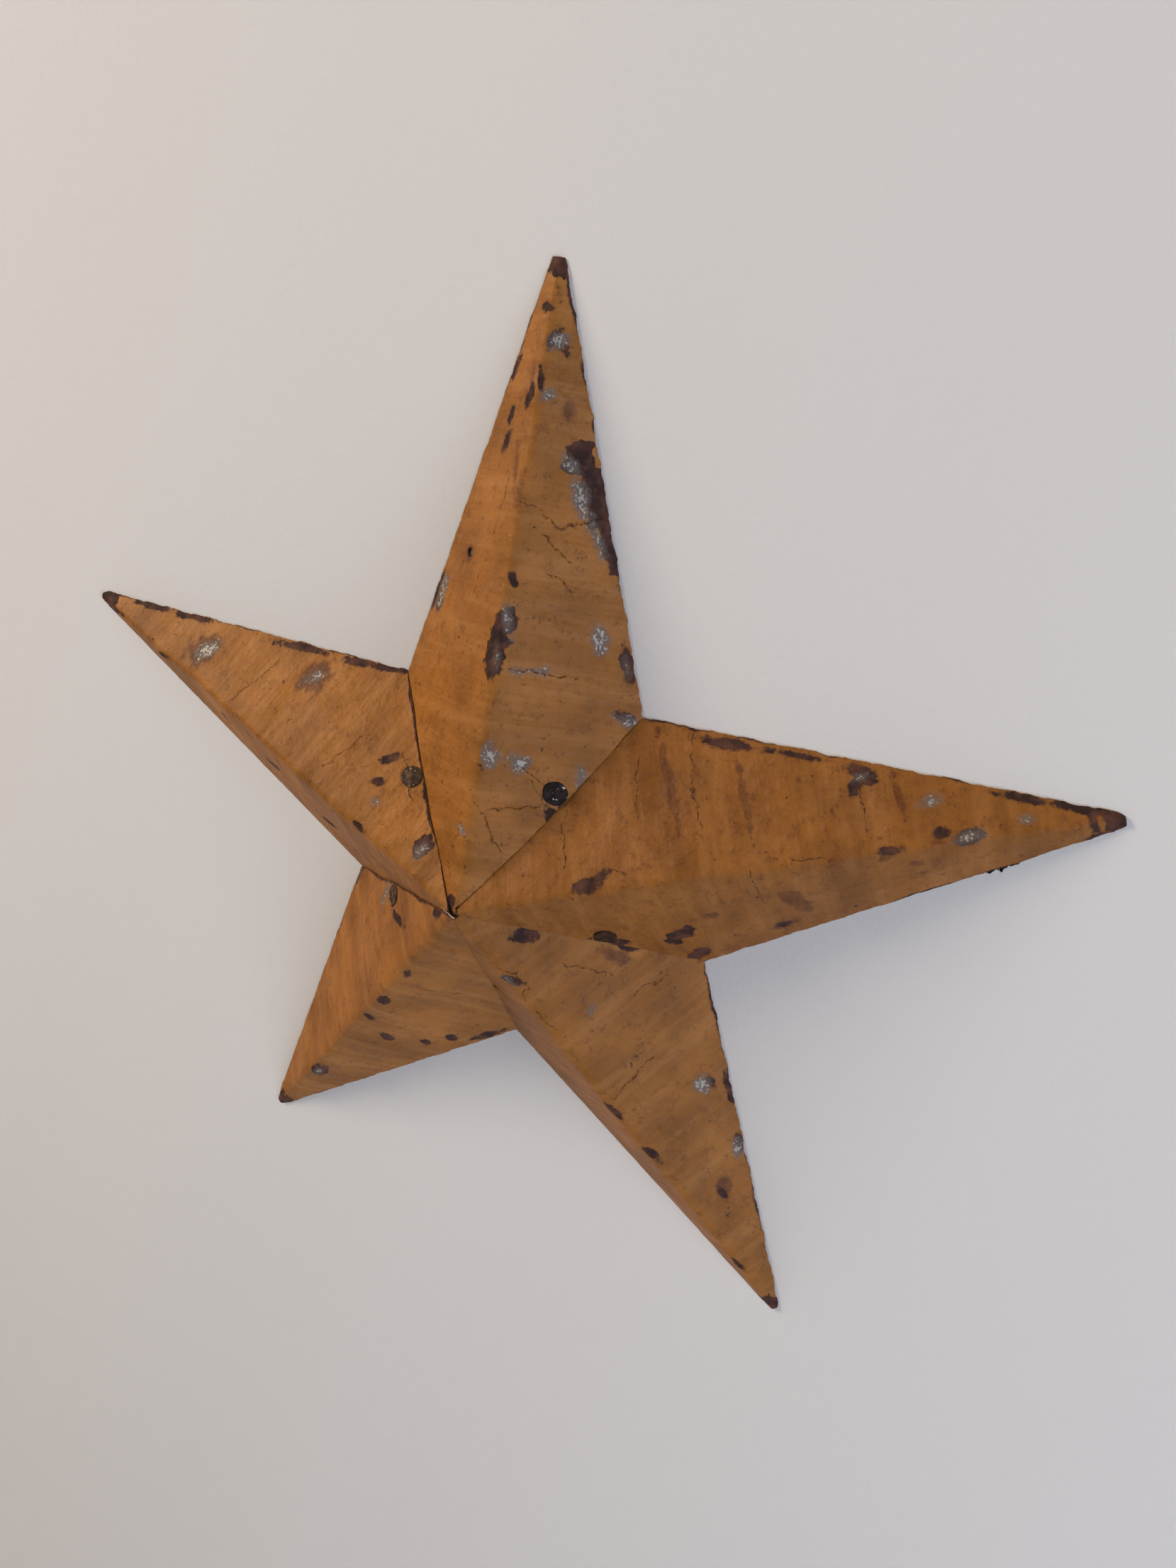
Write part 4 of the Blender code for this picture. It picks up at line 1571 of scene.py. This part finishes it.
@dataclass
class Apex:
    """What shows in the opening at the centre: torn tab ends folded under, and a curled sliver of edge."""

    lines: StarLines
    hand: HandWork
    tab_reach: float = 8 * MM
    tab_below: float = 1.9 * MM
    tab_rings: int = 16
    tab_steps: int = 120
    tab_wave: float = 0.3 * MM
    tab_wave_size: float = 3 * MM
    sliver_start: tuple[float, float, float] = (-6.6 * MM, -58.3 * MM, -0.4 * MM)
    sliver_end: tuple[float, float, float] = (1.4 * MM, -61.4 * MM, -1.9 * MM)
    sliver_arch: float = 0.5 * MM
    sliver_half_width: float = 0.5 * MM
    sliver_half_sheet: float = 0.3 * MM

    def build_tabs(self, finishes: list[bpy.types.Material]) -> bpy.types.Object:
        """Makes the tab ends as one crumpled shallow cone under the seams.

        Its height falls with the radius as the seams do, with a blotchy wave, and its outline is
        scaled by 1 + 0.1 sin(5a + 1) + 0.06 sin(3a) round the star's axis.

        Args:
            finishes: Finish of the outer side and the inner side.

        Returns:
            The tabs.
        """
        share = np.linspace(0.1, 1, self.tab_rings)
        slope = self.lines.centre_height / (self.lines.notches[0].radius_mm * MM)
        out_and_back = np.concatenate([share, share[::-1]])
        under = np.repeat([0, self.lines.sheet], self.tab_rings + 1)
        top = self.lines.centre_height - self.tab_below
        heights = top - slope * self.tab_reach * np.concatenate([[0], out_and_back, [0]]) - under
        points, faces = closed_of_revolution(self.tab_reach * out_and_back, heights, self.tab_steps)
        angle = np.arctan2(points[:, 1], points[:, 0])
        points[:, :2] *= (1 + 0.1 * np.sin(5 * angle + 1) + 0.06 * np.sin(3 * angle))[:, None]
        points[:, 2] += self.tab_wave * blotchy(points[:, 0], points[:, 1], Seed.TABS, self.tab_wave_size)
        towards_room = np.array([[1, 0, 0], [0, 0, 1], [0, -1, 0]])
        rows = (self.tab_rings, self.tab_rings - 1, 1, 1)
        finish = np.concatenate([np.full(n * self.tab_steps, k % 2) for k, n in enumerate(rows)])
        return new_piece("apex_tabs", self.hand.bend(points @ towards_room), faces, finishes, finish)

    def build_sliver(self, finish: bpy.types.Material) -> bpy.types.Object:
        """Makes the sliver: a thin oval section on an arch, narrowed to its ends by the root of a half sine.

        Args:
            finish: The material.

        Returns:
            The sliver.
        """
        share = np.linspace(0.02, 0.98, 36)
        start, end = np.array(self.sliver_start), np.array(self.sliver_end)
        rise = np.sin(math.pi * share)
        middle = start + share[:, None] * (end - start)
        middle[:, 1] -= self.sliver_arch * rise
        middle[:, 2] += 0.25 * MM * uneven(share, Seed.SLIVER_LINE, 0.7, 0.2)
        ragged = 1 + 0.25 * uneven(share, Seed.SLIVER_WIDTH, 0.5, 0.1)
        half = self.sliver_half_width * np.sqrt(rise) * ragged
        across = np.tile([0.0, -0.35, 1.0], (share.size, 1))
        points, faces = swept(middle, across, half, self.sliver_half_sheet, 14, False)
        return new_piece("apex_sliver", self.hand.bend(points), faces, [finish])


# --- hanger


@dataclass
class Hanger:
    """The strap soldered inside the top arm and the ring that swings in it."""

    lines: StarLines
    hand: HandWork
    nodes: dict[str, bpy.types.Object]
    wire_radius: float = 1.25 * MM
    ring_half_width: float = 10 * MM
    ring_corner: float = 2.5 * MM
    ring_leg: float = 8 * MM
    ring_points: int = 190
    strap_depth: float = 12 * MM
    strap_rise: float = 125 * MM
    foot: float = 9 * MM
    bead_half_length: float = 6.6 * MM
    bead_half_width: float = 2.2 * MM
    bead_height: float = 1.5 * MM
    strap: PlainMetal = PlainMetal("dulled zinc-coated strip", "8E8B88", "5F5B58", 9, 0.48)
    wire: PlainMetal = PlainMetal("drawn steel wire", "A09C96", "5A4C43", 6, 0.35)
    solder: PlainMetal = PlainMetal("soft solder, dull", "9D9A96", "6A6662", 3, 0.45)

    def dress_strap(self) -> None:
        """Gives the strap its metal, in the CAD node's own material slots."""
        material = self.strap.make()
        for slot in self.nodes["hanger_strap"].material_slots:
            slot.material = material

    def build_ring(self) -> bpy.types.Object:
        """Bends the ring: a straight bar, two rounded corners, two legs and a half-round top.

        Three arcs joined by straight lines give the middle line, spread evenly over its length, and a round
        section follows it.

        Returns:
            The ring.
        """
        half, corner = self.ring_half_width, self.ring_corner
        arcs = (
            (half - corner, corner, corner, -90, 0),
            (0, self.ring_leg, half, 0, 180),
            (corner - half, corner, corner, 180, 270),
        )
        line = []
        for across, rise, radius, start, end in arcs:
            angle = np.radians(np.linspace(start, end, 40))
            line.append(np.stack([across + radius * np.cos(angle), rise + radius * np.sin(angle)], -1))
        line = np.concatenate(line + [line[0][:1]])
        run = np.concatenate([[0], np.cumsum(np.linalg.norm(np.diff(line, axis=0), axis=1))])
        evenly = np.linspace(0, run[-1], self.ring_points, endpoint=False)
        low, high = np.array(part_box("hanger_ring"))
        middle = np.zeros((self.ring_points, 3))
        middle[:, 0] = np.interp(evenly, run, line[:, 0]) + (low[0] + high[0]) / 2
        middle[:, 1] = (low[1] + high[1]) / 2
        middle[:, 2] = np.interp(evenly, run, line[:, 1]) + low[2] + self.wire_radius
        across = np.tile([0.0, 1.0, 0.0], (self.ring_points, 1))
        round_section = np.full(self.ring_points, self.wire_radius)
        points, faces = swept(middle, across, round_section, self.wire_radius, 20, True)
        return new_piece("hanger_ring_wire", points, faces, [self.wire.make()])

    def build_bead(self, side: Side, finish: bpy.types.Material) -> bpy.types.Object:
        """Runs a bead of solder over the end of one of the strap's feet.

        It is a low dome, height h sqrt(1 - r^2), stretched along the foot's end and made lumpy.

        Args:
            side: Which half of the top arm the foot lies on.
            finish: The material.

        Returns:
            The bead.
        """
        facet = self.lines.facet(0, side)
        inside = facet.centre - facet.normal * self.lines.sheet
        level_with_strap = np.array([-self.strap_depth, self.strap_rise]) - inside[1:]
        along, across = np.linalg.solve(np.stack([facet.ridge, facet.across], 1)[1:], level_with_strap)
        wallward = unit(np.array([0, 1, 0]) - facet.normal * facet.normal[1])
        place = inside + along * facet.ridge + across * facet.across + self.foot * wallward
        share = np.linspace(0.08, 1, 14)
        heights = np.concatenate([[1], np.sqrt(1.0001 - share**2), [-0.15]]) * self.bead_height
        points, faces = closed_of_revolution(share, heights, 72)
        lumps = 1 + 0.18 * blotchy(points[:, 0] * 3, points[:, 1], Seed.SOLDER + side.value, 1.2)
        points *= np.stack([self.bead_half_length * lumps, self.bead_half_width * lumps, lumps], -1)
        axes = np.stack([np.cross(wallward, -facet.normal), wallward, -facet.normal])
        name = "solder_bead_" + side.name.lower()
        return new_piece(name, self.hand.bend(place + points @ axes), faces, [finish])


# --- studio


@dataclass(frozen=True)
class Lamp:
    """A soft square lamp that isn't seen itself."""

    name: str
    place: tuple[float, float, float]
    target: tuple[float, float, float]
    width: float
    watts: float
    colour: str


@dataclass(frozen=True)
class Studio:
    """Pale wall and floor, soft lamps and the camera."""

    camera_place: tuple[float, float, float] = (0.2100, -0.4243, 0.2476)
    camera_target: tuple[float, float, float] = (0.0281, 0.0, 0.0399)
    camera_roll: float = 4.07
    lens: float = 28.07
    wall_half: float = 3.0
    floor_level: float = -1.3
    lamps: tuple[Lamp, ...] = (
        Lamp("warm window left", (-1.58, -0.93, 1.2), (0, 0, 0.05), 0.8, 38.0, "FFF0DB"),
        Lamp("cool window right", (1.7, -1.2, 0.15), (0, 0, 0), 1.3, 25.0, "E8F0FF"),
        Lamp("cool light low right", (1.7, -1.0, -0.5), (0.5, 0, -0.4), 1.0, 4.5, "8CBCFF"),
        Lamp("behind", (-0.5, 1.1, 0.6), (0, 0, 0), 1.2, 20.0, "FFFFFF"),
    )
    room_colour: str = "F4E6DC"
    room_strength: float = 0.07

    def build(self) -> None:
        """Sets up the wall, the floor, the lamps, the room's light and the camera."""
        finish = RolledWall().make()
        half = self.wall_half
        wall = np.array([[-half, 0.4 * MM, self.floor_level], [half, 0.4 * MM, self.floor_level]])
        wall = np.concatenate([wall, wall[::-1] + [0, 0, half - self.floor_level]])
        floor = np.array([[-half, -half, 0], [half, -half, 0], [half, half, 0], [-half, half, 0]], float)
        floor[:, 2] = self.floor_level
        for name, corners in (("wall", wall), ("floor", floor)):
            made = new_piece(name, corners, [[0, 1, 2, 3]], [finish])
            made.visible_shadow = False
            made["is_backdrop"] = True
        for lamp in self.lamps:
            self.hang(lamp)
        world = bpy.data.worlds.new("room")
        bpy.context.scene.world = world
        world.use_nodes = True
        sky = world.node_tree.nodes["Background"]
        sky.inputs["Color"].default_value = linear(self.room_colour)
        sky.inputs["Strength"].default_value = self.room_strength
        self.set_camera()

    def hang(self, lamp: Lamp) -> None:
        """Hangs one lamp.

        Args:
            lamp: The lamp.
        """
        light = bpy.data.lights.new(lamp.name, "AREA")
        light.size = lamp.width
        light.energy = lamp.watts
        light.color = linear(lamp.colour)[:3]
        made = bpy.data.objects.new(lamp.name, light)
        made.location = lamp.place
        aim = Vector(lamp.target) - Vector(lamp.place)
        made.rotation_euler = aim.to_track_quat("-Z", "Y").to_euler()
        made.visible_camera = False
        bpy.context.scene.collection.objects.link(made)

    def set_camera(self) -> None:
        """Sets the camera close to the wall, up and to the right of the star, tilted a little."""
        data = bpy.data.cameras.new("camera")
        data.lens = self.lens
        data.sensor_width = 36
        data.dof.use_dof = False
        camera = bpy.data.objects.new("camera", data)
        camera.location = self.camera_place
        aim = Vector(self.camera_target) - Vector(self.camera_place)
        turn = aim.to_track_quat("-Z", "Y") @ Quaternion((0, 0, 1), math.radians(self.camera_roll))
        camera.rotation_mode = "QUATERNION"
        camera.rotation_quaternion = turn
        bpy.context.scene.collection.objects.link(camera)
        bpy.context.scene.camera = camera


# --- the whole star


RIVET_FINISHES: tuple[RivetFinish, ...] = (
    RivetFinish("hammered rivet steel, bare", 0.08, "3E2C24", "6B5340", fleck="A88C55", fleck_share=0.18),
    RivetFinish("hammered rivet steel, paint left at the rim", 0.35),
    RivetFinish("hammered rivet steel, painted over", 0.93),
    RivetFinish("hammered rivet steel, browned", 0.12, "33231A", "54391F", paint="5E431F"),
    RivetFinish("hammered rivet steel, blackened", 0.0, "1A1210", "382A24", fleck_share=0.22),
)


def keep(piece: bpy.types.Object, body: str, slot: str, *nodes: str) -> None:
    """Lets a finished piece ride on its body, hides the CAD nodes it replaces, and reports it.

    Args:
        piece: The piece.
        body: The body that it rides on.
        slot: Not used.
        *nodes: The CAD nodes that it stands for.
    """
    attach(piece, body)
    if nodes:
        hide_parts(*nodes)
    LOG.info("%s on %s: %d faces", piece.name, body, len(piece.data.polygons))


def main() -> None:
    """Builds the studio, the arms, the rivets, the apex and the hanger."""
    logging.basicConfig(level=logging.INFO, format="%(message)s")
    bpy.context.scene.view_settings.view_transform = "Standard"
    Studio().build()
    lines = StarLines()
    hand = HandWork(lines)
    finishes = [OchrePaint().make(), ShearedEdge().make(), SheetInside().make()]
    for index, tip in enumerate(lines.tips):
        keep(Arm(lines, hand, index, ARM_WEAR[tip.arm]).build(finishes), "star", "painted_sheet", tip.arm)
    for index, finish in enumerate(RIVET_FINISHES):
        rivet = Rivet(lines, hand, index, finish)
        keep(rivet.build(), "star", "rivet_steel", rivet.node)
    apex = Apex(lines, hand)
    keep(apex.build_tabs(finishes[1:]), "star", "painted_sheet")
    sliver_finish = PlainMetal("torn sheet edge, rubbed bright", "B8A598", "8A6A58", 2, 0.5, 0.2)
    keep(apex.build_sliver(sliver_finish.make()), "star", "painted_sheet")
    hanger = Hanger(lines, hand, frame["nodes"])
    hanger.dress_strap()
    keep(hanger.build_ring(), "ring", "ring_steel", "hanger_ring")
    solder = hanger.solder.make()
    for side in Side:
        keep(hanger.build_bead(side, solder), "star", "strap_steel")
    boxes = {"cad": CAD_BOX, "visual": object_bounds()}
    boxes = {name: [list(corner) for corner in box] for name, box in boxes.items()}


if __name__ == "__main__":
    main()
